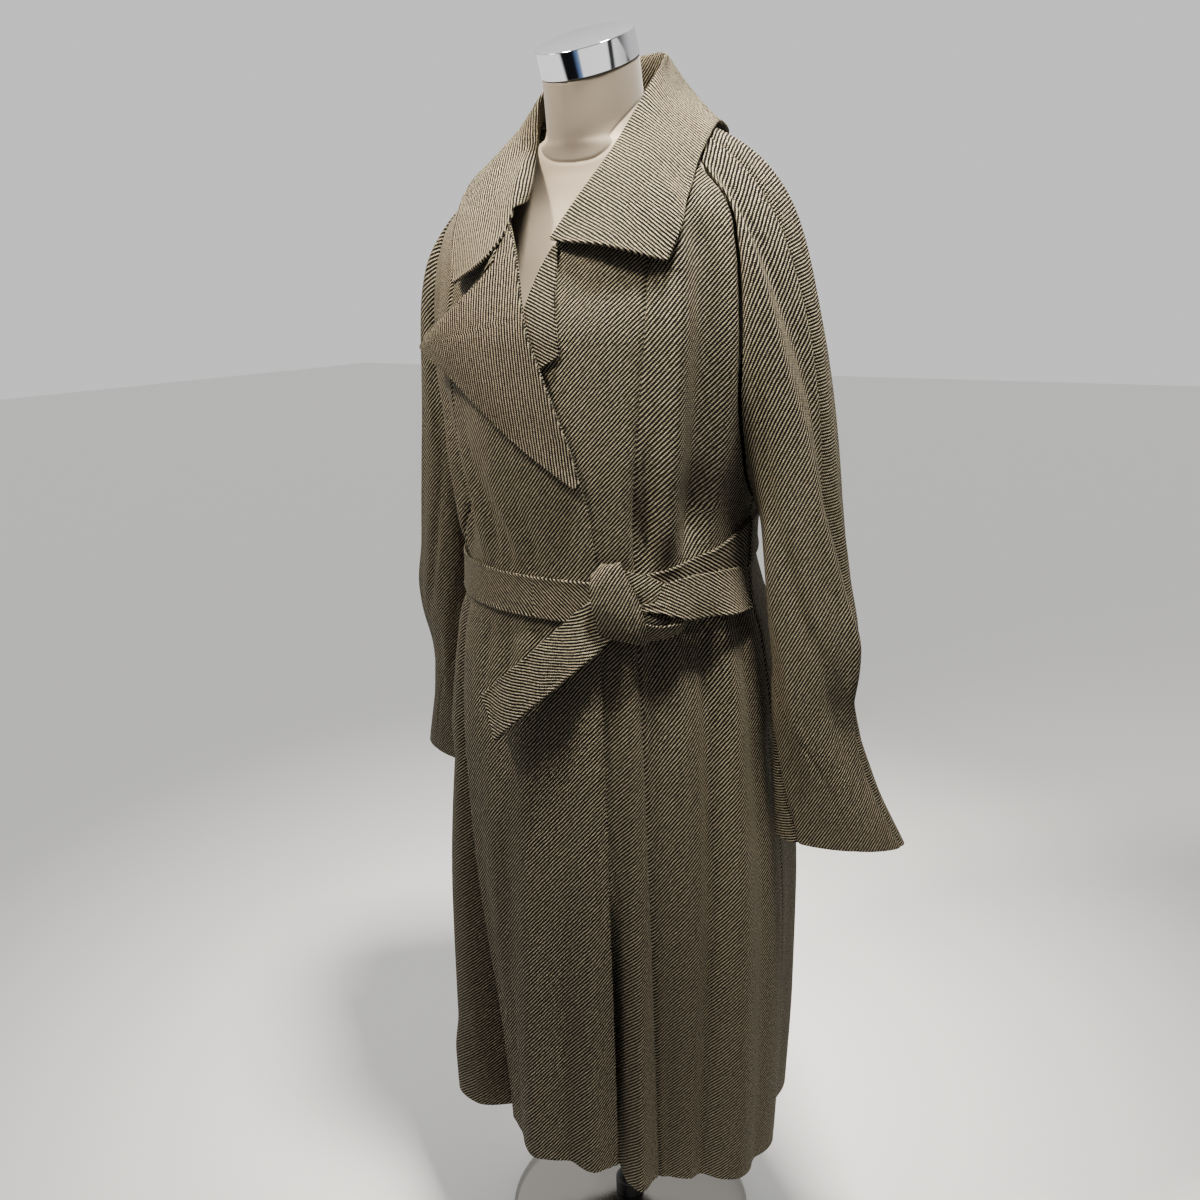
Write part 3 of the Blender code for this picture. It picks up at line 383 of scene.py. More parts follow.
body = {
    "squareness": 2.3,  # 2 would make the sections ellipses
    "underarm": 1.115,  # heights in metres
    "neckSide": 1.545,
    "frontTop": 1.518,
    "hem": 0.220,
    "hemReach": 0.15,  # height over which a panel takes up its own hem
    # height, half width, front depth, back depth
    "sections": [
        (0.200, 0.232, 0.197, 0.184), (0.400, 0.240, 0.199, 0.190), (0.550, 0.241, 0.201, 0.190),
        (0.800, 0.224, 0.198, 0.180), (0.950, 0.203, 0.190, 0.166), (0.990, 0.192, 0.184, 0.156),
        (1.045, 0.189, 0.183, 0.153), (1.090, 0.190, 0.184, 0.152), (1.180, 0.208, 0.187, 0.150),
        (1.300, 0.224, 0.187, 0.146), (1.380, 0.228, 0.168, 0.138), (1.420, 0.224, 0.150, 0.128),
        (1.450, 0.206, 0.134, 0.118), (1.478, 0.170, 0.116, 0.108), (1.515, 0.128, 0.086, 0.092),
        (1.545, 0.090, 0.060, 0.072), (1.560, 0.078, 0.050, 0.064),
    ],
    # upper angle, height and depth, lower angle, height and depth, half width; all angles in degrees
    "folds": [
        (8, 0.98, 0.001, -5, 0.20, 0.004, 13), (34, 0.94, -0.002, 29, 0.20, -0.026, 9),
        (-34, 0.96, 0.003, -25, 0.20, -0.022, 8), (-47, 0.96, -0.012, -33, 0.20, -0.042, 3.7),
        (-60, 0.94, 0.004, -50, 0.20, 0.022, 10), (-84, 0.95, -0.004, -76, 0.20, -0.012, 8),
        (-63, 0.74, -0.007, -58, 0.36, -0.008, 16),
        (38, 0.96, 0.004, 37, 0.20, 0.012, 5), (48, 0.97, -0.008, 48, 0.20, -0.032, 8),
        (62, 0.97, -0.006, 59, 0.20, -0.006, 3.5), (72, 0.95, 0.006, 74, 0.20, 0.012, 8),
        (100, 0.95, -0.004, 104, 0.20, -0.018, 9), (98, 0.82, -0.008, 98, 0.70, -0.004, 16),
        (124, 0.94, 0.004, 126, 0.20, 0.008, 9), (146, 0.94, -0.004, 146, 0.20, -0.016, 9),
        (168, 0.94, 0.004, 166, 0.20, 0.016, 10), (192, 0.94, -0.003, 190, 0.20, -0.014, 10),
        (214, 0.94, 0.004, 214, 0.20, 0.018, 10), (238, 0.94, -0.004, 240, 0.20, -0.016, 9),
        (258, 0.94, 0.004, 262, 0.20, 0.012, 9),
        (51, 1.42, 0.004, 49, 1.06, 0.006, 5), (61, 1.40, -0.012, 59, 1.06, -0.012, 5),
        (37, 1.16, -0.001, 39, 1.05, -0.005, 3), (-62, 1.26, 0.004, -44, 1.06, 0.007, 5),
        (-52, 1.22, -0.004, -36, 1.06, -0.006, 5), (-34, 1.18, 0.002, -22, 1.05, 0.006, 4),
        (-24, 1.16, -0.002, -12, 1.05, -0.006, 4), (150, 1.40, 0.003, 148, 1.08, 0.008, 8),
        (180, 1.40, -0.002, 180, 1.08, -0.007, 8), (210, 1.40, 0.003, 212, 1.08, 0.008, 8),
    ],
    # narrower creases, in the same columns
    "creases": [
        (57, 1.43, -0.006, 56, 1.06, -0.009, 4.0), (50.5, 1.40, 0.003, 48, 1.06, 0.005, 2.8),
        (66, 1.36, 0.003, 65, 1.08, 0.004, 3.0), (28, 1.40, 0.0018, 30, 1.10, 0.003, 5.0),
        (45, 1.16, 0.0020, 44, 1.06, 0.0045, 2.2), (40.5, 1.16, -0.0020, 40.5, 1.06, -0.0040, 2.0),
        (-62, 1.33, 0.003, -47, 1.06, 0.005, 2.8), (-55, 1.31, -0.003, -40, 1.06, -0.006, 2.6),
        (-40, 1.25, 0.0012, -27, 1.06, 0.0045, 2.4), (-31, 1.20, -0.001, -19, 1.06, -0.005, 2.4),
        (-18, 1.15, 0.0010, -8, 1.06, 0.0036, 2.6), (-8, 1.14, -0.0010, 0, 1.06, -0.0040, 2.4),
        (14, 1.00, -0.0030, 12, 0.84, -0.0005, 2.6), (2, 1.00, -0.0036, 0, 0.84, -0.0006, 2.8),
        (-10, 1.00, -0.0034, -14, 0.82, -0.0006, 2.8), (-22, 1.00, -0.0034, -25, 0.80, -0.0006, 3.0),
        (44, 1.00, -0.0030, 43, 0.86, -0.0005, 2.2), (55, 1.02, -0.0036, 55, 0.84, -0.0006, 2.4),
        (34, 0.92, 0.004, 34, 0.24, 0.002, 2.6), (41, 0.92, -0.008, 41, 0.24, -0.012, 3.4),
        (22, 0.90, 0.003, 20, 0.26, 0.006, 4.0), (12, 0.84, -0.003, 9, 0.24, -0.009, 4.5),
        (-14, 0.84, -0.004, -16, 0.26, -0.010, 5.0), (-3, 0.84, 0.003, -4, 0.26, 0.007, 4.5),
        (51, 0.90, 0.005, 50, 0.26, 0.004, 2.8), (60, 0.90, -0.009, 59, 0.26, -0.013, 3.4),
        (68, 0.90, 0.004, 68, 0.26, 0.004, 3.0), (76, 0.88, -0.006, 77, 0.26, -0.010, 3.6),
        (84, 0.82, 0.002, 86, 0.26, 0.005, 4.5), (160, 0.90, -0.002, 158, 0.26, -0.007, 5.0),
        (200, 0.90, 0.002, 202, 0.26, 0.006, 5.0), (226, 0.90, -0.002, 228, 0.26, -0.007, 5.0),
        (168, 1.20, 0.001, 166, 1.08, 0.005, 3.5), (194, 1.20, 0.001, 196, 1.08, 0.005, 3.5),
    ],
    "foldEnd": 6, "creaseEnd": 2,  # how quickly they fade past their ends
    # the left front turned in near the hem: degrees where it starts and that it takes, depth, then heights
    "tuck": {"from": 31.0, "width": 5.0, "depth": 0.032, "top": 0.66, "fade": 0.22},
    # angle, height, depth, half width in degrees, half height: the waist is drawn in behind the sleeve
    "drawnIn": [(112, 1.065, -0.016, 22, 0.075)],
    # edges and seams: height, degrees from the front
    "rightEdge": [
        (0.20, 27.7), (0.60, 27.0), (1.00, 25.0), (1.10, 22.5), (1.18, 17.0), (1.24, 10.5), (1.305, 3.0),
        (1.39, -6.0), (1.45, -21.0), (1.50, -40.0), (1.53, -52.0),
    ],
    "leftEdge": [
        (0.20, 22.0), (0.40, 22.0), (0.55, 19.0), (0.70, 12.0), (0.90, 3.0), (1.02, -5.0), (1.10, -9.0),
        (1.20, -9.0), (1.30, -4.0), (1.37, 2.0), (1.41, 9.0), (1.45, 21.0), (1.50, 40.0), (1.53, 52.0),
    ],
    "leftPrincess": [
        (0.20, 44.0), (0.74, 40.0), (1.02, 37.5), (1.13, 37.0), (1.30, 40.0), (1.38, 42.0), (1.46, 48.0),
        (1.515, 58.0), (1.54, 63.0),
    ],
    "rightPrincess": [
        (0.20, 33.0), (0.35, 34.4), (0.50, 37.8), (0.62, 41.1), (0.74, 44.2), (0.94, 47.0), (1.02, 46.0),
        (1.13, 41.0), (1.30, 40.0), (1.38, 42.0), (1.46, 48.0), (1.515, 58.0), (1.54, 63.0),
    ],
    "raglan": [
        (1.115, 90.0), (1.130, 84.0), (1.160, 77.0), (1.250, 70.0), (1.400, 68.0), (1.478, 70.0),
        (1.545, 70.5),
    ],
    # height, how far the right front stands off the left one
    "overlap": [
        (0.20, 0.0090), (0.62, 0.0080), (0.82, 0.0050), (0.90, 0.0044), (1.02, 0.0040), (1.15, 0.0056),
        (1.26, 0.0090), (1.45, 0.0090), (1.54, 0.0030),
    ],
    "overlapStart": -36.0, "overlapRise": 22.0,  # degrees
    # degrees from the front, height of the belt's middle
    "beltLine": [
        (-180, 1.066), (-135, 1.055), (-90, 1.030), (-40, 1.014), (20, 1.012), (40, 1.020), (62, 1.038),
        (90, 1.064), (135, 1.072), (180, 1.066),
    ],
    "pressReach": 0.050,  # height either side of the belt where it flattens the folds
    "beltPress": 0.90,  # share of their depth that it takes
}


def smooth(rows, column, at):
    # monotone cubic through one column of a table, by its first column
    keys = np.array([row[0] for row in rows], float)
    values = np.array([row[column] for row in rows], float)
    at = np.clip(at, keys[0], keys[-1])
    steps = np.diff(keys)
    slopes = np.diff(values) / steps
    product = slopes[:-1] * slopes[1:]
    total = np.where(product > 0, slopes[:-1] + slopes[1:], 1.0)
    inner = np.where(product > 0, 2 * product / total, 0.0)
    tangents = np.concatenate([[slopes[0]], inner, [slopes[-1]]])
    index = np.clip(np.searchsorted(keys, at, side="right") - 1, 0, len(steps) - 1)
    step = steps[index]
    part = (at - keys[index]) / step
    rise = part * part * (3 - 2 * part)
    bendLow = part * (1 - part) ** 2 * step * tangents[index]
    bendHigh = part * part * (part - 1) * step * tangents[index + 1]
    return values[index] + (values[index + 1] - values[index]) * rise + bendLow + bendHigh


def mix(start, end, part):
    return start + (end - start) * part


def ease(value):
    value = np.clip(value, 0.0, 1.0)
    return value * value * (3 - 2 * value)


def beltHeight(angle):
    return smooth(body["beltLine"], 1, (np.degrees(angle) + 180) % 360 - 180)


def halfTurn(angle):
    # the same angle between -pi and pi
    return (angle + np.pi) % (2 * np.pi) - np.pi


def foldSum(rows, end, angle, at):
    # long folds, each from a first angle, place and depth to a last one
    depth = np.zeros(np.broadcast(angle, at).shape)
    for firstAngle, first, firstDepth, lastAngle, last, lastDepth, halfWidth in rows:
        way = (at - first) / (last - first)
        fade = ease(1 + way * end) * ease(1 + (1 - way) * end)
        part = ease(way)
        away = halfTurn(angle - np.radians(mix(firstAngle, lastAngle, part)))
        depth += np.exp(-((away / np.radians(halfWidth)) ** 2)) * fade * mix(firstDepth, lastDepth, part)
    return depth


def foldDepth(angle, height):
    depth = foldSum(body["folds"], body["foldEnd"], angle, height)
    depth = depth + foldSum(body["creases"], body["creaseEnd"], angle, height)
    pressed = np.exp(-np.abs((height - beltHeight(angle)) / body["pressReach"]) ** 3)
    depth = depth * (1 - body["beltPress"] * pressed)
    for middle, level, pull, halfWidth, halfHeight in body["drawnIn"]:
        away = halfTurn(angle - np.radians(middle)) / np.radians(halfWidth)
        depth += pull * np.exp(-(away**2) - ((height - level) / halfHeight) ** 2)
    return depth


def onBody(angle, height, lift=0.0):
    # the point of the coat at an angle and a height, lifted off it
    halfWidth = smooth(body["sections"], 1, height)
    front = smooth(body["sections"], 2, height)
    back = smooth(body["sections"], 3, height)
    across = np.abs(np.sin(angle)) / halfWidth
    along = np.abs(np.cos(angle)) / np.where(np.cos(angle) > 0, front, back)
    radius = (across ** body["squareness"] + along ** body["squareness"]) ** (-1 / body["squareness"])
    radius = radius + foldDepth(angle, height) + lift
    return np.stack([radius * np.sin(angle), -radius * np.cos(angle), height + 0 * radius], -1)


def line(name, sign=1):
    return lambda height: sign * np.radians(smooth(body[name], 1, height))


leftEdge, rightEdge = line("leftEdge"), line("rightEdge")
leftPrincess, rightPrincess = line("leftPrincess"), line("rightPrincess", -1)
leftSide, rightSide = line("raglan"), line("raglan", -1)


def backLeft(height):
    return np.pi - leftSide(height)


def backRight(height):
    return np.pi + leftSide(height)


def overlap(angle, height):
    # the right front stands off the left one, most at its edge
    rise = ease((np.degrees(angle) - body["overlapStart"]) / body["overlapRise"])
    return smooth(body["overlap"], 1, height) * rise


def tuck(angle, height):
    # near the hem the left front turns in behind the right front's edge
    values = body["tuck"]
    deep = ease((np.radians(values["from"]) - angle) / np.radians(values["width"]))
    return -values["depth"] * deep * ease((values["top"] - height) / values["fade"])


def panel(lowLine, highLine, lowHem, highHem, lift):
    # the coat between two lines, with u from one to the other and v as height
    def place(u, v):
        drop = mix(lowHem, highHem, u) - body["hem"]
        height = v + drop * ease(1 - (v - body["hem"]) / body["hemReach"])
        angle = mix(lowLine(height), highLine(height), u)
        return onBody(angle, height, lift(angle, height) if lift else 0.0)
    return place


# cloth pieces: a fine grid on a surface, closed round its edges, with its weave laid out on the flat cut

cloth = {
    "thickness": 0.0020,
    "seamDepth": 0.0030, "seamReach": 0.0032,  # how far the cloth dips to a pressed seam, and over what width
    "beadReach": 0.0028, "beadAt": 0.6,  # width of a turned edge's swelling, and its middle as a share of it
    "rimTurns": (12, 28, 46, 66, 90),  # degrees round an edge where it has points
    "rimSteps": (1.6, 2.4, 3.6),  # the next points in, as shares of the rounding
    "flatCells": (34, 220),  # the flat cut is worked out on this many cells
}


def gridNormals(points, closed=False):
    # which way is out at each point; a closed surface meets itself at its two sides
    if closed:
        wrapped = np.concatenate([points[:, -2:-1], points, points[:, 1:2]], 1)
        across = (wrapped[:, 2:] - wrapped[:, :-2]) / 2
    else:
        across = np.gradient(points, axis=1)
    normal = np.cross(across, np.gradient(points, axis=0))
    return normal / np.maximum(np.linalg.norm(normal, axis=-1, keepdims=True), 1e-12)


def lengths(points, axis):
    # how far each point is along its row or column
    steps = np.linalg.norm(np.diff(points, axis=axis), axis=-1)
    zero = np.zeros_like(np.take(steps, [0], axis=axis))
    return np.concatenate([zero, np.cumsum(steps, axis=axis)], axis=axis)


def spacing(count, length, thickness=cloth["thickness"], dense="lh"):
    # positions 0 to 1 along a length in metres, with extra ones where its low or high end is rounded
    near = (1 - np.cos(np.radians(cloth["rimTurns"]))) * thickness / 2 / length
    near = np.append(near, near[-1] * np.array(cloth["rimSteps"]))
    taken = np.concatenate([ends for side, ends in (("l", near), ("h", 1 - near)) if side in dense])
    clear = [at for at in np.linspace(0, 1, count) if at in (0, 1) or np.abs(taken - at).min() > near[0] * 2]
    return np.unique(np.concatenate([clear, taken]))


def gridObject(name, points, facing):
    # one sheet through all the points
    mesh = bmesh.new()
    bmesh.ops.create_grid(mesh, x_segments=points.shape[1] - 1, y_segments=points.shape[0] - 1, size=1)
    if facing < 0:
        bmesh.ops.reverse_faces(mesh, faces=mesh.faces)
    made = meshObject(name, mesh)
    made.data.vertices.foreach_set("co", points.reshape(-1).astype(np.float32))
    return made


def cornerIndex(data):
    # the vertex at each corner of each face
    corners = np.empty(len(data.loops), np.int32)
    data.loops.foreach_get("vertex_index", corners)
    return corners


def areaOf(points):
    crossed = np.cross(points[1:, 1:] - points[:-1, :-1], points[1:, :-1] - points[:-1, 1:])
    return np.linalg.norm(crossed, axis=-1).sum() / 2


def readBetween(wanted, known, table):
    # two columns of values at wanted places, straight between the known ones
    return np.stack([np.interp(wanted, known, table[:, column]) for column in (0, 1)], -1)


def flatCut(points, columns, rows, facing):
    # a coarse copy is unwrapped at its real size, turned so that v runs up, and read between its points
    pickU, pickV = (np.unique(np.linspace(0, len(line) - 1, count).astype(int))
                    for line, count in zip((columns, rows), cloth["flatCells"]))
    coarse = points[pickV][:, pickU]
    trial = gridObject("trial", coarse, facing)
    trial.data.uv_layers.new(name="cloth")
    bpy.ops.object.select_all(action="DESELECT")
    bpy.context.view_layer.objects.active = trial
    trial.select_set(True)
    bpy.ops.object.mode_set(mode="EDIT")
    bpy.ops.mesh.select_all(action="SELECT")
    bpy.ops.uv.unwrap(method="CONFORMAL", margin=0)
    bpy.ops.object.mode_set(mode="OBJECT")
    layer = np.empty(len(trial.data.loops) * 2, np.float32)
    trial.data.uv_layers["cloth"].data.foreach_get("uv", layer)
    flat = np.zeros((coarse.shape[0] * coarse.shape[1], 2))
    flat[cornerIndex(trial.data)] = layer.reshape(-1, 2)
    bpy.data.objects.remove(trial)
    flat = flat.reshape(coarse.shape[0], coarse.shape[1], 2)
    solid = np.concatenate([flat, np.zeros_like(flat[..., :1])], -1)
    flat = flat * math.sqrt(areaOf(coarse) / areaOf(solid))
    middle = flat[:, flat.shape[1] // 2]
    up = middle[-1] - middle[0]
    flat = turnedFlat(flat, math.pi / 2 - math.atan2(up[1], up[0]))
    between = np.stack([readBetween(columns, columns[pickU], row) for row in flat])
    fine = [readBetween(rows, rows[pickV], between[:, column]) for column in range(len(columns))]
    return np.stack(fine, 1)


def turnedFlat(flat, turn):
    # the flat cut turned by an angle
    x, y = flat[..., 0], flat[..., 1]
    return np.stack([x * math.cos(turn) - y * math.sin(turn), x * math.sin(turn) + y * math.cos(turn)], -1)


def makeCloth(name, place, columns, rows, replaces, facing=1, seams="", edges="", closed=False,
              thickness=cloth["thickness"], bead=0.0, grain=0.0,
              relief=None, cutRows=0):
    # seams and edges name sides: l low u, h high u, b low v, t high v
    # the first cutRows rows are left out of the cut's width
    v, u = np.meshgrid(rows, columns, indexing="ij")
    points = place(u, v)
    normal = gridNormals(points, closed) * facing
    across, along = lengths(points, 1), lengths(points, 0)
    sides = {"l": across, "h": across[:, -1:] - across, "b": along, "t": along[-1:] - along}
    depth = np.zeros_like(across)
    half = np.full_like(across, thickness / 2)
    for side, distance in sides.items():
        if closed and side in "lh":
            continue
        if side in seams:
            depth -= cloth["seamDepth"] * np.exp(-((distance / cloth["seamReach"]) ** 2))
        if side in edges:
            half *= 1 + bead * np.exp(-((distance / cloth["beadReach"] - cloth["beadAt"]) ** 2))
        half *= np.sqrt(1 - np.clip(1 - distance * 2 / thickness, 0, 1) ** 2)
    if relief:
        depth += relief(u, v)
    middle = points + normal * (depth - thickness / 2)[..., None]
    front, back = middle + normal * half[..., None], middle - normal * half[..., None]
    if closed:
        flat = np.stack([across, along], -1) * np.array([facing, 1])
    else:
        flat = flatCut(points, columns, rows, facing)
    flat = turnedFlat(flat, math.radians(grain))
    layers = []
    for sheet, way, cut in ((front, facing, flat), (back, -facing, 2 * flat[-1:] - flat)):
        made = gridObject(name, sheet, way)
        layer = made.data.uv_layers.new(name="cloth")
        corners = cut.reshape(-1, 2)[cornerIndex(made.data)]
        layer.data.foreach_set("uv", corners.reshape(-1).astype(np.float32))
        layers.append(made)
    mesh = bmesh.new()
    for layer in layers:
        mesh.from_mesh(layer.data)
    bpy.data.objects.remove(layers[1])
    rim = [vert for vert in mesh.verts if vert.is_boundary]
    bmesh.ops.remove_doubles(mesh, verts=rim, dist=2e-5)
    made = layers[0]
    mesh.to_mesh(made.data)
    mesh.free()
    made.data.shade_smooth()
    made.data.materials.append(woolTwill)
    width, length = (max(0.01, float(value)) for value in (across[cutRows:, -1].max(), along[-1].max()))
    area = float(min(areaOf(points), width * length))
    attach(made, "root")
    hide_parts(replaces)
    faces = len(made.data.polygons)
    print(f"{name}: cut {width * 100:.0f} x {length * 100:.0f} cm, {area:.3f} m2, {faces} faces")


# dress form

form = {
    # height, y, half width, half depth, lean in degrees
    "rings": [
        (0.745, 0.000, 0.120, 0.085, 0), (0.750, 0.000, 0.150, 0.105, 0), (0.800, 0.000, 0.168, 0.118, 0),
        (0.880, 0.000, 0.168, 0.118, 0), (1.040, -0.006, 0.126, 0.094, 0), (1.180, -0.012, 0.150, 0.112, 0),
        (1.280, -0.014, 0.168, 0.120, 0), (1.380, -0.010, 0.178, 0.100, 0), (1.450, -0.008, 0.188, 0.0815, 0),
        (1.480, -0.011, 0.180, 0.0745, 0), (1.500, -0.018, 0.149, 0.0675, 2),
        (1.518, -0.026, 0.100, 0.0613, 6), (1.532, -0.030, 0.064, 0.0600, 12),
        (1.550, -0.036, 0.058, 0.058, 18), (1.600, -0.0447, 0.0565, 0.0565, 24),
    ],
    "sides": 96,
    "levels": (110, 44), "crowd": 1.5,  # rows under and over the neck seam, and how they crowd towards it
    "seamWidth": 0.0012, "neckSeamWidth": 0.0022,
    "seamDepth": 0.0008, "seamRadius": 0.06,  # the depth is a share of this radius
    # degrees from the front, height of the neck seam
    "neckSeam": [(0, 1.4965), (8, 1.498), (18, 1.507), (30, 1.519), (42, 1.531), (60, 1.544), (90, 1.556),
                 (180, 1.568)],
}


def makeForm():
    rows = form["rings"]
    low, high = rows[0][0], rows[-1][0]
    under, over = form["levels"]
    turn = np.linspace(-np.pi, np.pi, form["sides"] + 1)
    seamLevel = smooth(form["neckSeam"], 1, np.abs(np.degrees(turn)))
    below = 1 - (1 - np.linspace(0, 1, under)[:, None]) ** form["crowd"]
    above = np.linspace(0, 1, over)[1:, None] ** form["crowd"]
    height = np.concatenate([mix(low, seamLevel, below), mix(seamLevel, high, above)])
    turn = np.broadcast_to(turn, height.shape)
    deep = smooth(rows, 3, height) * np.cos(turn)
    lean = np.radians(smooth(rows, 4, height))
    x = smooth(rows, 2, height) * np.sin(turn)
    seam = np.exp(-((x / form["seamWidth"]) ** 2)) * form["seamDepth"]
    ring = np.exp(-(((height - seamLevel) / form["neckSeamWidth"]) ** 2)) * form["seamDepth"]
    shrink = 1 - (seam + ring) / form["seamRadius"]
    y = smooth(rows, 1, height) - deep * shrink * np.cos(lean)
    points = np.stack([x * shrink, y, height - deep * np.sin(lean)], -1)
    mesh = bmesh.new()
    bmesh.ops.create_grid(mesh, x_segments=form["sides"], y_segments=len(points) - 1, size=1)
    made = meshObject("formCover", mesh)
    made.data.vertices.foreach_set("co", points.reshape(-1).astype(np.float32))
    made.data.materials.append(torsoJersey)
    made.data.materials.append(neckJerseyPaintedShade)
    for face in made.data.polygons:
        face.material_index = int(min(face.vertices) // (form["sides"] + 1) >= under - 1)
    mesh = bmesh.new()
    mesh.from_mesh(made.data)
    bmesh.ops.remove_doubles(mesh, verts=mesh.verts, dist=1e-5)
    bmesh.ops.holes_fill(mesh, edges=[edge for edge in mesh.edges if edge.is_boundary], sides=0)
    bmesh.ops.recalc_face_normals(mesh, faces=mesh.faces)
    mesh.to_mesh(made.data)
    mesh.free()
    made.data.shade_smooth()
    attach(made, "root")
    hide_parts("form_torso")


stand = {
    "capRadius": 0.0575, "capHeight": 0.030, "capBevel": 0.0016, "capUnder": 0.0008,  # its lower bevel
    "capLean": 24.0, "capFoot": (0, -0.0447, 1.600),
    "baseRadius": 0.178, "baseEdge": 0.006, "baseDome": 0.020, "domeSteps": 24,
    "ringRadius": 0.021, "ringHeight": 0.026, "ringBevel": 0.004, "poleRadius": 0.0125,
    "sides": {"cap": 128, "base": 160, "ring": 64, "pole": 48}, "cornerPoints": 6,
    "gap": 0.0004,  # between one part and the next
    "sharp": 28,  # degrees between two faces that make an edge
}


def spun(name, profile, steps, material, replaces):
    # a profile of (radius, height) turned round z in so many steps
    mesh = bmesh.new()
    verts = [mesh.verts.new((radius, 0, height)) for radius, height in profile]
    edges = [mesh.edges.new(pair) for pair in zip(verts, verts[1:])]
    bmesh.ops.spin(mesh, geom=verts + edges, cent=(0, 0, 0), axis=(0, 0, 1), angle=2 * math.pi, steps=steps,
                   use_merge=True)
    bmesh.ops.remove_doubles(mesh, verts=mesh.verts, dist=1e-6)
    bmesh.ops.recalc_face_normals(mesh, faces=mesh.faces)
    made = meshObject(name, mesh)
    made.data.shade_smooth()
    made.data.set_sharp_from_angle(angle=math.radians(stand["sharp"]))
    made.data.materials.append(material)
    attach(made, "root")
    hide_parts(replaces)
    return made


def roundedCorner(radius, height, bevel):
    # from the side of a disc over its edge to its top
    turns = np.radians(np.linspace(0, 90, stand["cornerPoints"]))
    return [(radius + bevel * (math.cos(turn) - 1), height + bevel * (math.sin(turn) - 1)) for turn in turns]


def makeStand():
    gap, under, sides = stand["gap"], stand["capUnder"], stand["sides"]
    radius, height = stand["capRadius"], stand["capHeight"]
    profile = [(0, 0), (radius - under, 0), (radius, under)]
    profile += roundedCorner(radius, height, stand["capBevel"]) + [(0, height)]
    cap = spun("neckCap", profile, sides["cap"], chromePlate, "form_neck_cap")
    lean = Matrix.Rotation(math.radians(stand["capLean"]), 4, "X")
    cap.data.transform(Matrix.Translation(stand["capFoot"]) @ lean @ Matrix.Translation((0, 0, gap)))

    reach, edge, rise = stand["baseRadius"], stand["baseEdge"], stand["baseDome"]
    turns = np.linspace(0, math.pi / 2, stand["domeSteps"])[:-1]
    dome = [(reach * math.cos(turn), edge + rise * math.sin(turn)) for turn in turns]
    profile = [(0, 0), (reach, 0)] + dome + [(0, edge + rise)]
    spun("standBase", profile, sides["base"], polishedSteel, "form_base")

    foot, inner = edge + rise + gap, stand["poleRadius"] + gap
    radius, top = stand["ringRadius"], foot + stand["ringHeight"]
    profile = [(inner, foot), (radius, foot)] + roundedCorner(radius, top, stand["ringBevel"])
    profile += [(inner, top), (inner, foot)]
    spun("poleRing", profile, sides["ring"], blackNylon, "form_pole_ring")

    radius, top = stand["poleRadius"], form["rings"][0][0] - gap
    profile = [(0, foot), (radius, foot), (radius, top), (0, top)]
    # the pole's darkened steel colour is painted shade
    spun("pole", profile, sides["pole"], satinSteelPaintedShade, "form_pole")


makeForm()
makeStand()
print("dress form and stand made")


# body panels

panels = {
    # points across, and metres across
    "columns": {"leftFront": (84, 0.15), "leftSideFront": (76, 0.20), "backPanel": (80, 0.65),
                "rightSideFront": (74, 0.24), "rightFront": (110, 0.25)},
    "toNeck": (210, 1.36), "toFront": (210, 1.32),  # points and metres from the hem up
    # heights of the hem at each seam, from the left front's edge round the back to the right front's edge
    "hems": (0.205, 0.215, 0.228, 0.235, 0.238, 0.240),
}


def makePanels():
    toNeck = mix(body["hem"], body["neckSide"], spacing(*panels["toNeck"]))
    toFront = mix(body["hem"], body["frontTop"], spacing(*panels["toFront"]))
    # name, part it stands for, first line, last line, lift, rows, seamed sides, free sides
    pieces = [
        ("leftFront", "left_front", leftEdge, leftPrincess, tuck, toFront, "h", "lb"),
        ("leftSideFront", "left_side_front", leftPrincess, leftSide, None, toNeck, "lh", "b"),
        ("backPanel", "back", backLeft, backRight, None, toNeck, "lh", "b"),
        ("rightSideFront", "right_side_front", rightSide, rightPrincess, None, toNeck, "lh", "b"),
        ("rightFront", "right_front", rightPrincess, rightEdge, overlap, toFront, "l", "hb"),
    ]
    for index, (name, part, first, last, lift, rows, seams, edges) in enumerate(pieces):
        place = panel(first, last, *panels["hems"][index:index + 2], lift)
        makeCloth(name, place, spacing(*panels["columns"][name]), rows, part, seams=seams, edges=edges)


makePanels()
print("body panels made")


# sleeves

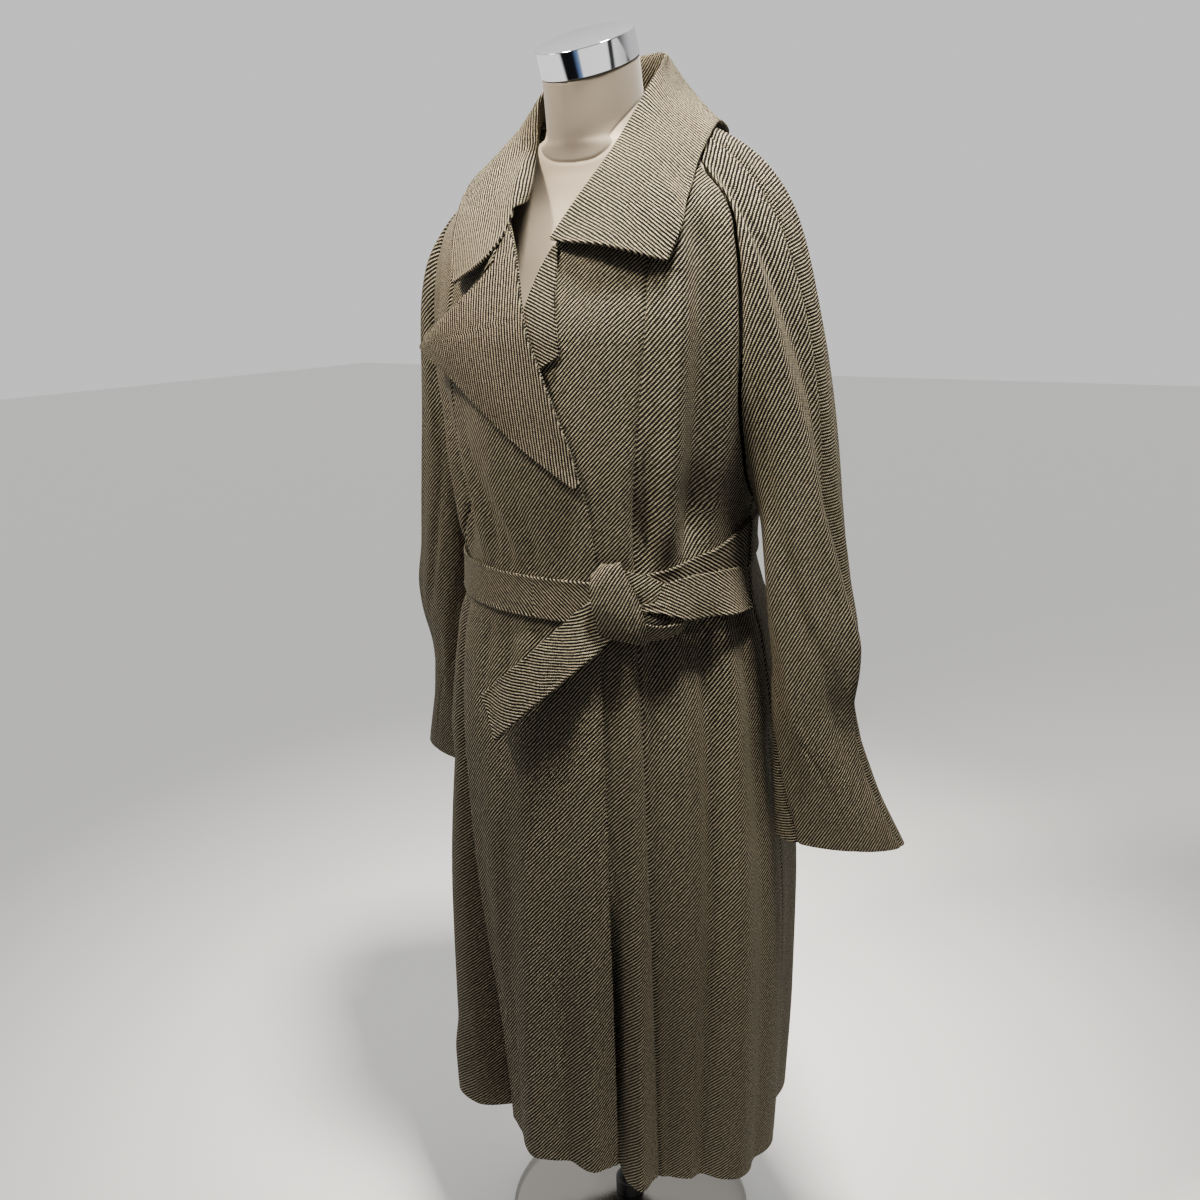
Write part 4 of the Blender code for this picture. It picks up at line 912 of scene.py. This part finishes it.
sleeve = {
    # height, x, y, half width, half depth, turn in degrees, from the cuff to the armpit
    "rings": [
        (0.690, 0.3030, 0.013, 0.0780, 0.0360, 18.0), (0.780, 0.2800, 0.005, 0.0580, 0.0430, 12.0),
        (0.820, 0.2745, 0.003, 0.0520, 0.0460, 8.0), (0.870, 0.2680, 0.002, 0.0480, 0.0510, 4.0),
        (0.930, 0.2690, 0.001, 0.0520, 0.0550, 2.0), (1.000, 0.2600, 0.000, 0.0470, 0.0600, 0.0),
        (1.090, 0.2500, 0.000, 0.0430, 0.0640, 0.0),
    ],
    "tilt": 0.030,  # how much higher the armpit ring is outside than in its middle
    "headShare": 0.36,  # share of the length from the raglan seam to the armpit ring
    "headFacing": 0.30,  # how far the head leaves its seam to the front and to the back
    "ringSlope": 0.09,  # how far out it heads for each metre down where it meets the armpit ring
    # share of the way to the armpit, reach, drop, slope in degrees
    "head": [(0.00, 1.02, 1.90, 17.0), (0.12, 0.80, 1.60, 20.0), (0.30, 0.50, 1.10, 34.0),
             (0.60, 0.50, 1.00, 60.0), (1.00, 0.50, 1.00, 80.0)],
    "neckShare": 0.10,  # share of the raglan seam that runs along the neck
    "overarm": 14.0, "underarm": (180, 128),  # degrees of the seams, the lower one at armpit and cuff
    "drift": (0.45, 0.55),  # shares of the length where the lower seam starts to drift, and that it takes
    # metres that the cuffs hang out, the left one forward and up, the right one back and down
    "out": 0.012, "swing": 0.024, "raise": 0.016,
    # first turn, place and depth, last turn, place and depth, half width; all turns in degrees
    "folds": [(56, 0.14, 0.004, 22, 0.66, 0.007, 26), (8, 0.24, -0.003, -24, 0.62, -0.005, 22),
              (-90, 0.20, 0.003, -70, 0.70, 0.006, 28)],
    "creases": [(58, 0.10, 0.0045, 18, 0.64, 0.0085, 9), (37, 0.13, -0.0115, -5, 0.62, -0.0145, 9),
                (100, 0.26, -0.0030, 72, 0.56, -0.0040, 10), (82, 0.46, -0.0016, 40, 0.76, -0.0034, 9),
                (10, 0.22, 0.0030, -30, 0.60, 0.0040, 10), (22, 0.62, 0.0024, 2, 0.84, 0.0034, 10),
                (118, 0.44, 0.0020, 96, 0.74, 0.0036, 10), (158, 0.50, -0.0016, 74, 0.90, -0.0016, 2.6),
                (172, 0.34, -0.0080, 165, 0.60, -0.0040, 34), (-60, 0.30, -0.0030, -84, 0.62, -0.0050, 12)],
    "foldEnd": 4, "creaseEnd": 2, "seamEnd": 12,  # how quickly they fade past their ends, and to the seam
    "columns": (72, 0.2), "rows": (170, 0.94),  # points, metres
    "headRows": 62,
    "grains": {"left": (-3.0, 35.0), "right": (-10.0, 0.0)},  # degrees the cloth is turned, front and back
}


def armRing(height, turn):
    # a point of the left arm below the armpit; turn 0 is outside and 90 degrees is the front
    rings = sleeve["rings"]
    low, high = rings[0][0], rings[-1][0]
    swing = np.radians(smooth(rings, 5, height))
    wide = smooth(rings, 3, height) * np.cos(turn)
    deep = smooth(rings, 4, height) * np.sin(turn)
    x = smooth(rings, 1, height) + wide * np.cos(swing) + deep * np.sin(swing)
    y = smooth(rings, 2, height) + wide * np.sin(swing) - deep * np.cos(swing)
    z = height + sleeve["tilt"] * np.cos(turn) * (height - low) / (high - low)
    return np.stack([x, y, z + 0 * x], -1)


def raglanLoop(side, turn):
    # where the sleeve's head leaves the body: along the neck, then down the raglan seam to the armpit
    turn = halfTurn(turn)
    way = np.abs(turn) / np.pi
    down = np.clip((way - sleeve["neckShare"]) / (1 - sleeve["neckShare"]), 0, 1)
    height = mix(body["neckSide"], body["underarm"], down)
    seam = np.pi / 2 - leftSide(height)
    neck = np.minimum(way / sleeve["neckShare"], 1.0) * seam
    angle = np.pi / 2 - np.sign(turn) * neck
    return onBody(side * angle, height) * np.array([side, 1.0, 1.0])


def sleeveFolds(turn, v):
    depth = foldSum(sleeve["folds"], sleeve["foldEnd"], turn, v)
    return (depth + foldSum(sleeve["creases"], sleeve["creaseEnd"], turn, v)) * ease(v * sleeve["seamEnd"])


def sleevePiece(side, first, last):
    # the sleeve between two seams, worked out as a left one and mirrored for the right
    low, high = sleeve["rings"][0][0], sleeve["rings"][-1][0]
    headShare = sleeve["headShare"]

    def place(u, v):
        way = np.clip(v / headShare, 0, 1)[..., None]
        below = np.clip((v - headShare) / (1 - headShare), 0, 1)
        turn = mix(first(v), last(v), u)
        tube = armRing(mix(high, low, below), turn)
        # the head runs from the raglan seam to the armpit ring with a set slope at both
        start = raglanLoop(side, turn)
        end = armRing(high + 0 * turn, turn)
        reach = np.linalg.norm(end - start, axis=-1)
        share = np.abs(halfTurn(turn)) / np.pi
        slope = np.radians(smooth(sleeve["head"], 3, share))
        out = np.stack([np.cos(slope), -sleeve["headFacing"] * np.sin(turn), -np.sin(slope)], -1)
        out = out * (smooth(sleeve["head"], 1, share) * reach)[..., None]
        down = np.array([sleeve["ringSlope"], 0, -1]) * (smooth(sleeve["head"], 2, share) * reach)[..., None]
        head = (2 * way**3 - 3 * way**2 + 1) * start + (way**3 - 2 * way**2 + way) * out
        head = head + (3 * way**2 - 2 * way**3) * end + (way**3 - way**2) * down
        point = np.where(v[..., None] < headShare, head, tube)
        outward = np.stack([np.cos(turn), -np.sin(turn), 0 * turn], -1)
        point = point + sleeveFolds(turn, v)[..., None] * outward
        hang = np.clip((body["neckSide"] - point[..., 2:]) / (body["neckSide"] - low), 0, 1) ** 2
        point = point + hang * np.array([sleeve["out"], -side * sleeve["swing"], side * sleeve["raise"]])
        return point * np.array([side, 1.0, 1.0])
    return place


def overarm(v):
    return np.radians(sleeve["overarm"]) + 0 * v


def overarmRound(v):
    return overarm(v) + 2 * np.pi


def underarm(v):
    # the lower seam leaves the armpit and drifts to the front of the cuff
    start, taken = sleeve["drift"]
    return np.radians(mix(*sleeve["underarm"], ease((v - start) / taken)))


def makeSleeves():
    columns, rows = spacing(*sleeve["columns"]), spacing(*sleeve["rows"])
    for side, word in ((1, "left"), (-1, "right")):
        halves = (("Front", "front", overarm, underarm), ("Back", "back", underarm, overarmRound))
        for (half, part, first, last), grain in zip(halves, sleeve["grains"][word]):
            makeCloth(word + "Sleeve" + half, sleevePiece(side, first, last), columns, rows,
                      f"{word}_sleeve_{part}", facing=side, seams="lhb", edges="t", grain=grain,
                      cutRows=sleeve["headRows"])


makeSleeves()
print("sleeves made")


# collar

collar = {
    "thickness": 0.0034, "bead": 0.3, "grain": 8.0,
    "columns": (200, 0.8), "rows": (60, 0.19),  # points, metres
    "slack": 0.0020, "skinGap": 0.0034,  # metres that the leaf keeps off the fronts
    "restTurn": (80, 6), "restHeight": (1.53, 30),  # where the fronts stop holding the leaf, and how suddenly
    "restStart": (0.22, 8),  # share of the way over the leaf where they start, and how suddenly
    # points on the neck seam, the roll line, the middle and the edge of the leaf
    "back": [(0, 0.067, 1.553), (0, 0.052, 1.621), (0, 0.087, 1.588), (0, 0.134, 1.518)],
    # the same points from beside the centre back to the left tip
    "left": [
        [(0.058, 0.052, 1.553), (0.047, 0.037, 1.619), (0.066, 0.060, 1.586), (0.106, 0.085, 1.526)],
        [(0.082, 0.004, 1.555), (0.069, -0.002, 1.603), (0.089, 0.003, 1.571), (0.139, 0.004, 1.535)],
        [(0.0748, -0.0335, 1.549), (0.074, -0.044, 1.570), (0.106, -0.046, 1.538), (0.149, -0.052, 1.503)],
        [(0.056, -0.074, 1.510), (0.061, -0.090, 1.510), (0.108, -0.094, 1.500), (0.152, -0.092, 1.462)],
        [(0.042, -0.104, 1.474), (0.043, -0.130, 1.458), (0.100, -0.136, 1.452), (0.154, -0.124, 1.418)],
        [(0.026, -0.130, 1.424), (0.023, -0.164, 1.410), (0.095, -0.176, 1.402), (0.154, -0.146, 1.384)],
    ],
    # and on from the mirrored points to the right tip
    "rightTip": [
        [(-0.056, -0.074, 1.510), (-0.056, -0.086, 1.508), (-0.108, -0.088, 1.500), (-0.154, -0.090, 1.471)],
        [(-0.042, -0.104, 1.474), (-0.041, -0.126, 1.462), (-0.094, -0.134, 1.446), (-0.138, -0.136, 1.422)],
        [(-0.040, -0.116, 1.456), (-0.036, -0.140, 1.444), (-0.053, -0.184, 1.394), (-0.112, -0.174, 1.366)],
    ],
}


def catmullRom(before, start, end, after, part):
    # the smooth curve from start to end
    cubic, square = 3 * (start - end) + after - before, 2 * before - 5 * start + 4 * end - after
    return start + 0.5 * part * (end - before + part * (square + part * cubic))


def alongKnots(at, last):
    # the four points around each place, and the share of the way between the middle two
    index = np.clip((at * last).astype(int), 0, last - 1)
    around = [np.clip(index + offset, 0, last) for offset in (-1, 0, 1, 2)]
    return around, (at * last - index)[..., None]


def through(points, at):
    # a smooth line through a list of points
    points = np.asarray(points, float)
    around, part = alongKnots(at, len(points) - 1)
    return catmullRom(*(points[index] for index in around), part)


def throughRows(knots, v):
    # the same through one list of points for every u
    around, part = alongKnots(v, len(knots) - 1)
    knots = np.stack(knots, -2)
    picked = [np.take_along_axis(knots, index[..., None, None], axis=-2)[..., 0, :] for index in around]
    return catmullRom(*picked, part)


def resting(point, share):
    # lifts what would sink into the fronts, with a soft start
    angle = np.arctan2(point[..., 0], -point[..., 1])
    height = point[..., 2]
    least = onBody(angle, height, overlap(angle, height) + collar["skinGap"] + collar["slack"])
    sunk = np.linalg.norm(least[..., :2], axis=-1) - np.linalg.norm(point[..., :2], axis=-1)
    (turn, turnRate), (top, heightRate) = collar["restTurn"], collar["restHeight"]
    near = ease((np.radians(turn) - np.abs(angle)) * turnRate) * ease((top - height) * heightRate)
    out = share * near * (sunk + np.sqrt(sunk**2 + collar["slack"]**2)) / 2
    return point + np.stack([out * np.sin(angle), -out * np.cos(angle), 0 * out], -1)


def onCollar(u, v):
    # u runs from the left tip round the neck to the right one, v from the neck seam over the roll
    mirrored = [[(-x, y, z) for x, y, z in row] for row in collar["left"][:-3]]
    rows = collar["left"][::-1] + [collar["back"]] + mirrored + collar["rightTip"]
    knots = [through([row[column] for row in rows], u) for column in range(4)]
    start, rate = collar["restStart"]
    return resting(throughRows(knots, v), ease((v - start) * rate))


def makeCollar():
    thick = collar["thickness"]
    columns, rows = spacing(*collar["columns"], thick), spacing(*collar["rows"], thick, "h")
    makeCloth("collarCloth", onCollar, columns, rows, "collar", facing=-1, edges="lht", bead=collar["bead"],
              thickness=thick, grain=collar["grain"])


makeCollar()


# lapels

lapels = {
    # height on the front's edge; angle, height and lift of the lapel's free edge
    "right": [(1.433, -14.6, 1.388, 0.0150), (1.400, -24.3, 1.348, 0.0210), (1.330, -46.4, 1.293, 0.0280),
              (1.270, -28.5, 1.260, 0.0210), (1.200, -6.8, 1.200, 0.0150), (1.150, 18.0, 1.143, 0.0125)],
    "left": [(1.405, 10.5, 1.400, 0.0042), (1.360, 11.0, 1.350, 0.0042), (1.300, 13.5, 1.288, 0.0042),
             (1.270, 2.0, 1.266, 0.0042)],
    # points and metres along the roll and out from it
    "cells": {"right": ((130, 0.43), (56, 0.14)), "left": ((60, 0.15), (30, 0.05))},
    "grains": {"right": 46.0, "left": -35.0},
    "thickness": 0.0030, "bead": 0.3,
    "gap": 0.0040,  # over the front where the lapel rolls
    "rollShare": 1.15,  # the lift is full before the free edge
}


def lapelPlace(rows, edge, base):
    # u runs down the front's edge, v from the roll to the free edge
    def place(u, v):
        at = u * (len(rows) - 1)
        index = np.clip(at.astype(int), 0, len(rows) - 2)
        table = np.array(rows)
        roll, angle, height, lift = (mix(column[index], column[index + 1], at - index) for column in table.T)
        where = mix(edge(roll), np.radians(angle), v)
        level = mix(roll, height, v)
        rolled = lapels["gap"] + (base(where, level) if base else 0.0)
        return onBody(where, level, mix(rolled, lift, ease(v * lapels["rollShare"])))
    return place


def makeLapels():
    thick = lapels["thickness"]
    for side, edge, base, facing in (("right", rightEdge, overlap, -1), ("left", leftEdge, None, 1)):
        columns, rows = (spacing(*cells, thick) for cells in lapels["cells"][side])
        makeCloth(side + "Lapel", lapelPlace(lapels[side], edge, base), columns, rows, side + "_lapel",
                  facing=facing, edges="lth", bead=lapels["bead"], thickness=thick,
                  grain=lapels["grains"][side])


makeLapels()
print("collar and lapels made")


# belt

belt = {
    "width": 0.050, "thickness": 0.0034, "gap": 0.0016, "bead": 0.35,
    "bandPoints": 300, "rowPoints": 20, "bandGrain": 86.0,
    "swellEnd": 6,  # how suddenly the swelling of the knot's turns starts and ends
    "edgeStep": (0.14, 0.10),  # radians past the right front's edge where it is down, and that the step takes
    # hanging ends: way, angle, height, lift, share of the width
    "right": [(0.0, 30.0, 1.010, 0.0088, 0.8), (0.2, 21.0, 0.980, 0.0142, 1.0),
              (0.6, 2.0, 0.915, 0.0260, 1.0), (1.0, -14.5, 0.858, 0.0300, 1.14)],
    "left": [(0.0, 36.0, 1.0165, 0.0190, 0.28), (0.12, 41.5, 1.0185, 0.0215, 0.46),
             (0.3, 49.5, 1.0195, 0.0225, 0.84), (0.42, 55.5, 1.0180, 0.0215, 1.0),
             (0.66, 66.0, 1.0180, 0.0200, 1.0), (1.0, 81.0, 1.012, 0.0120, 1.0)],
    # points and metres along, slant of the cut end, metres that the upper edge leans in, degrees of the weave
    "ends": {"right": ((80, 0.22), 0.06, -0.006, 84.0), "left": ((70, 0.16), 0.0, 0.012, 78.0)},
    "radius": 0.2, "probe": 0.01,  # of the body at the belt, and step along a strap that finds its direction
    "pleats": 3, "pleatDepth": 0.0016, "pleatReach": 0.34,  # gathers of the left end at the knot
    "loopAngle": 88.0, "loopWidth": 0.009, "loopCloth": 0.0015, "loopCells": (40, 8),
    "loopFoot": 0.0010, "loopReach": 0.012,  # gap under a loop's ends, and how far they pass the belt's edge
    "loopBends": [(0.12, 0.004), (0.24, 0.011)],  # shares of its length and metres where it leaves the coat
}


def onBelt(u, v):
    # once round the waist, stepping over the right front's edge
    angle = mix(0, 2 * np.pi, u)
    height = beltHeight(angle) + (v - 0.5) * belt["width"]
    around = halfTurn(angle)
    past, taken = belt["edgeStep"]
    step = ease((rightEdge(height) + past - around) / taken)
    return onBody(angle, height, overlap(around, height) * step + belt["gap"] + belt["thickness"])


def strap(rows, width, slant=0.0, tilt=0.0):
    # a band of cloth along the coat, its width square to its way
    def place(u, v):
        step, radius = belt["probe"], belt["radius"]
        u = u * (1 - slant * (1 - v) * ease(u))
        angle, height, lift = np.radians(smooth(rows, 1, u)), smooth(rows, 2, u), smooth(rows, 3, u)
        ahead, behind = np.minimum(u + step, 1), np.maximum(u - step, 0)
        along = np.radians(smooth(rows, 1, ahead) - smooth(rows, 1, behind)) * radius
        rise = smooth(rows, 2, ahead) - smooth(rows, 2, behind)
        length = np.hypot(along, rise)
        across = (v - 0.5) * width * smooth(rows, 4, u)
        turn = angle - across * rise / length / radius
        return onBody(turn, height + across * along / length, lift + tilt * (0.5 - v))
    return place


def loopRows(angle):
    # a belt loop's way up the coat and over the belt
    middle = float(beltHeight(np.array(np.radians(angle))))
    under = belt["loopFoot"] + belt["loopCloth"]
    over = under + belt["gap"] + belt["thickness"]
    reach = belt["width"] / 2 + belt["loopReach"]
    (firstShare, first), (lastShare, last) = belt["loopBends"]
    half = [(0.0, reach, under), (firstShare, reach - first, under), (lastShare, reach - last, over)]
    rising = [(way, angle, middle - out, lift, 1.0) for way, out, lift in half]
    return rising + [(1 - way, angle, middle + out, lift, 1.0) for way, out, lift in reversed(half)]


def pleats(u, v):
    return belt["pleatDepth"] * np.cos(2 * np.pi * belt["pleats"] * v) * ease(1 - u / belt["pleatReach"])


def makeBelt():
    width, thick, bead = belt["width"], belt["thickness"], belt["bead"]
    across = spacing(belt["rowPoints"], width, thick)
    makeCloth("beltBand", onBelt, np.linspace(0, 1, belt["bandPoints"]), across, "belt_band", edges="bt",
              closed=True, bead=bead, thickness=thick, grain=belt["bandGrain"])
    sides = (("right", -1, "rightFront", None), ("left", 1, "leftSideFront", pleats))
    for side, facing, under, relief in sides:
        cells, slant, tilt, grain = belt["ends"][side]
        makeCloth("beltEnd" + side.title(), strap(belt[side], width, slant, tilt), spacing(*cells, thick),
                  across, "belt_end_" + side, facing=facing, edges="lhbt", bead=bead, thickness=thick,
                  grain=grain, relief=relief)
    along, over = belt["loopCells"]
    width, thick = belt["loopWidth"], belt["loopCloth"]
    for angle, side in ((belt["loopAngle"], "left"), (-belt["loopAngle"], "right")):
        makeCloth("beltLoop" + side.title(), strap(loopRows(angle), width), np.linspace(0, 1, along),
                  spacing(over, width, thick), "belt_loop_" + side, thickness=thick)


makeBelt()
print("belt made")


# knot: the turns of belt that show, each between two edge lines of (angle, height, lift)

knot = {
    "wrap": {
        "low": [(27.5, 0.986, 0.006), (25.6, 0.978, 0.015), (24.6, 0.992, 0.024), (23.3, 1.014, 0.027),
                (22.7, 1.031, 0.026), (22.9, 1.046, 0.022), (25.6, 1.060, 0.013), (27.0, 1.055, 0.005)],
        "high": [(40.0, 0.978, 0.006), (41.2, 0.967, 0.014), (40.2, 0.979, 0.024), (38.9, 0.999, 0.029),
                 (37.8, 1.018, 0.029), (34.8, 1.042, 0.027), (32.3, 1.063, 0.018), (32.5, 1.060, 0.006)],
        "swell": 0.006, "cells": ((46, 0.062), (90, 0.11)), "facing": 1, "grain": -7.0,
    },
    "under": {
        "low": [(33.0, 1.020, 0.012), (37.5, 1.012, 0.020), (41.0, 1.008, 0.021), (46.0, 1.003, 0.017),
                (50.0, 1.000, 0.012)],
        "high": [(30.0, 1.056, 0.012), (33.5, 1.0545, 0.018), (38.1, 1.050, 0.019), (43.5, 1.0415, 0.015),
                 (48.0, 1.033, 0.010)],
        "swell": 0.003, "cells": ((34, 0.045), (56, 0.07)), "facing": -1, "grain": 90.0,
    },
    "loopUpper": {
        "low": [(36.5, 0.996, 0.020), (39.5, 0.993, 0.024), (43.0, 0.989, 0.024), (46.5, 0.989, 0.019)],
        "high": [(36.5, 1.011, 0.020), (39.0, 1.0075, 0.024), (43.0, 1.000, 0.024), (46.2, 0.996, 0.020)],
        "swell": 0.002, "cells": ((18, 0.014), (40, 0.04)), "facing": -1, "grain": 90.0,
    },
    "loopLower": {
        "low": [(36.0, 0.971, 0.010), (40.0, 0.971, 0.014), (44.0, 0.970, 0.016), (49.0, 0.977, 0.017),
                (52.4, 0.985, 0.017)],
        "high": [(36.5, 0.997, 0.022), (39.3, 0.995, 0.026), (43.5, 0.991, 0.0275), (49.0, 0.994, 0.026),
                 (52.6, 0.9965, 0.021)],
        "swell": 0.004, "cells": ((26, 0.022), (56, 0.06)), "facing": -1, "grain": 90.0,
    },
}


def turnOfBelt(values):
    # u runs from one edge line to the other, v along them
    def place(u, v):
        low, high = (through(values[side], v) for side in ("low", "high"))
        angle, height, lift = (mix(low[..., k], high[..., k], u) for k in range(3))
        ends = ease(belt["swellEnd"] * v) * ease(belt["swellEnd"] * (1 - v))
        swell = values["swell"] * 4 * u * (1 - u) * ends
        return onBody(np.radians(angle), height, lift + swell)
    return place


def makeKnot():
    thick = belt["thickness"]
    for word, values in knot.items():
        columns, rows = (spacing(*cells, thick) for cells in values["cells"])
        makeCloth("knot" + word[0].upper() + word[1:], turnOfBelt(values), columns, rows, "belt_knot",
                  facing=values["facing"], edges="lhbt", bead=belt["bead"], thickness=thick,
                  grain=values["grain"])


makeKnot()
print("knot made")
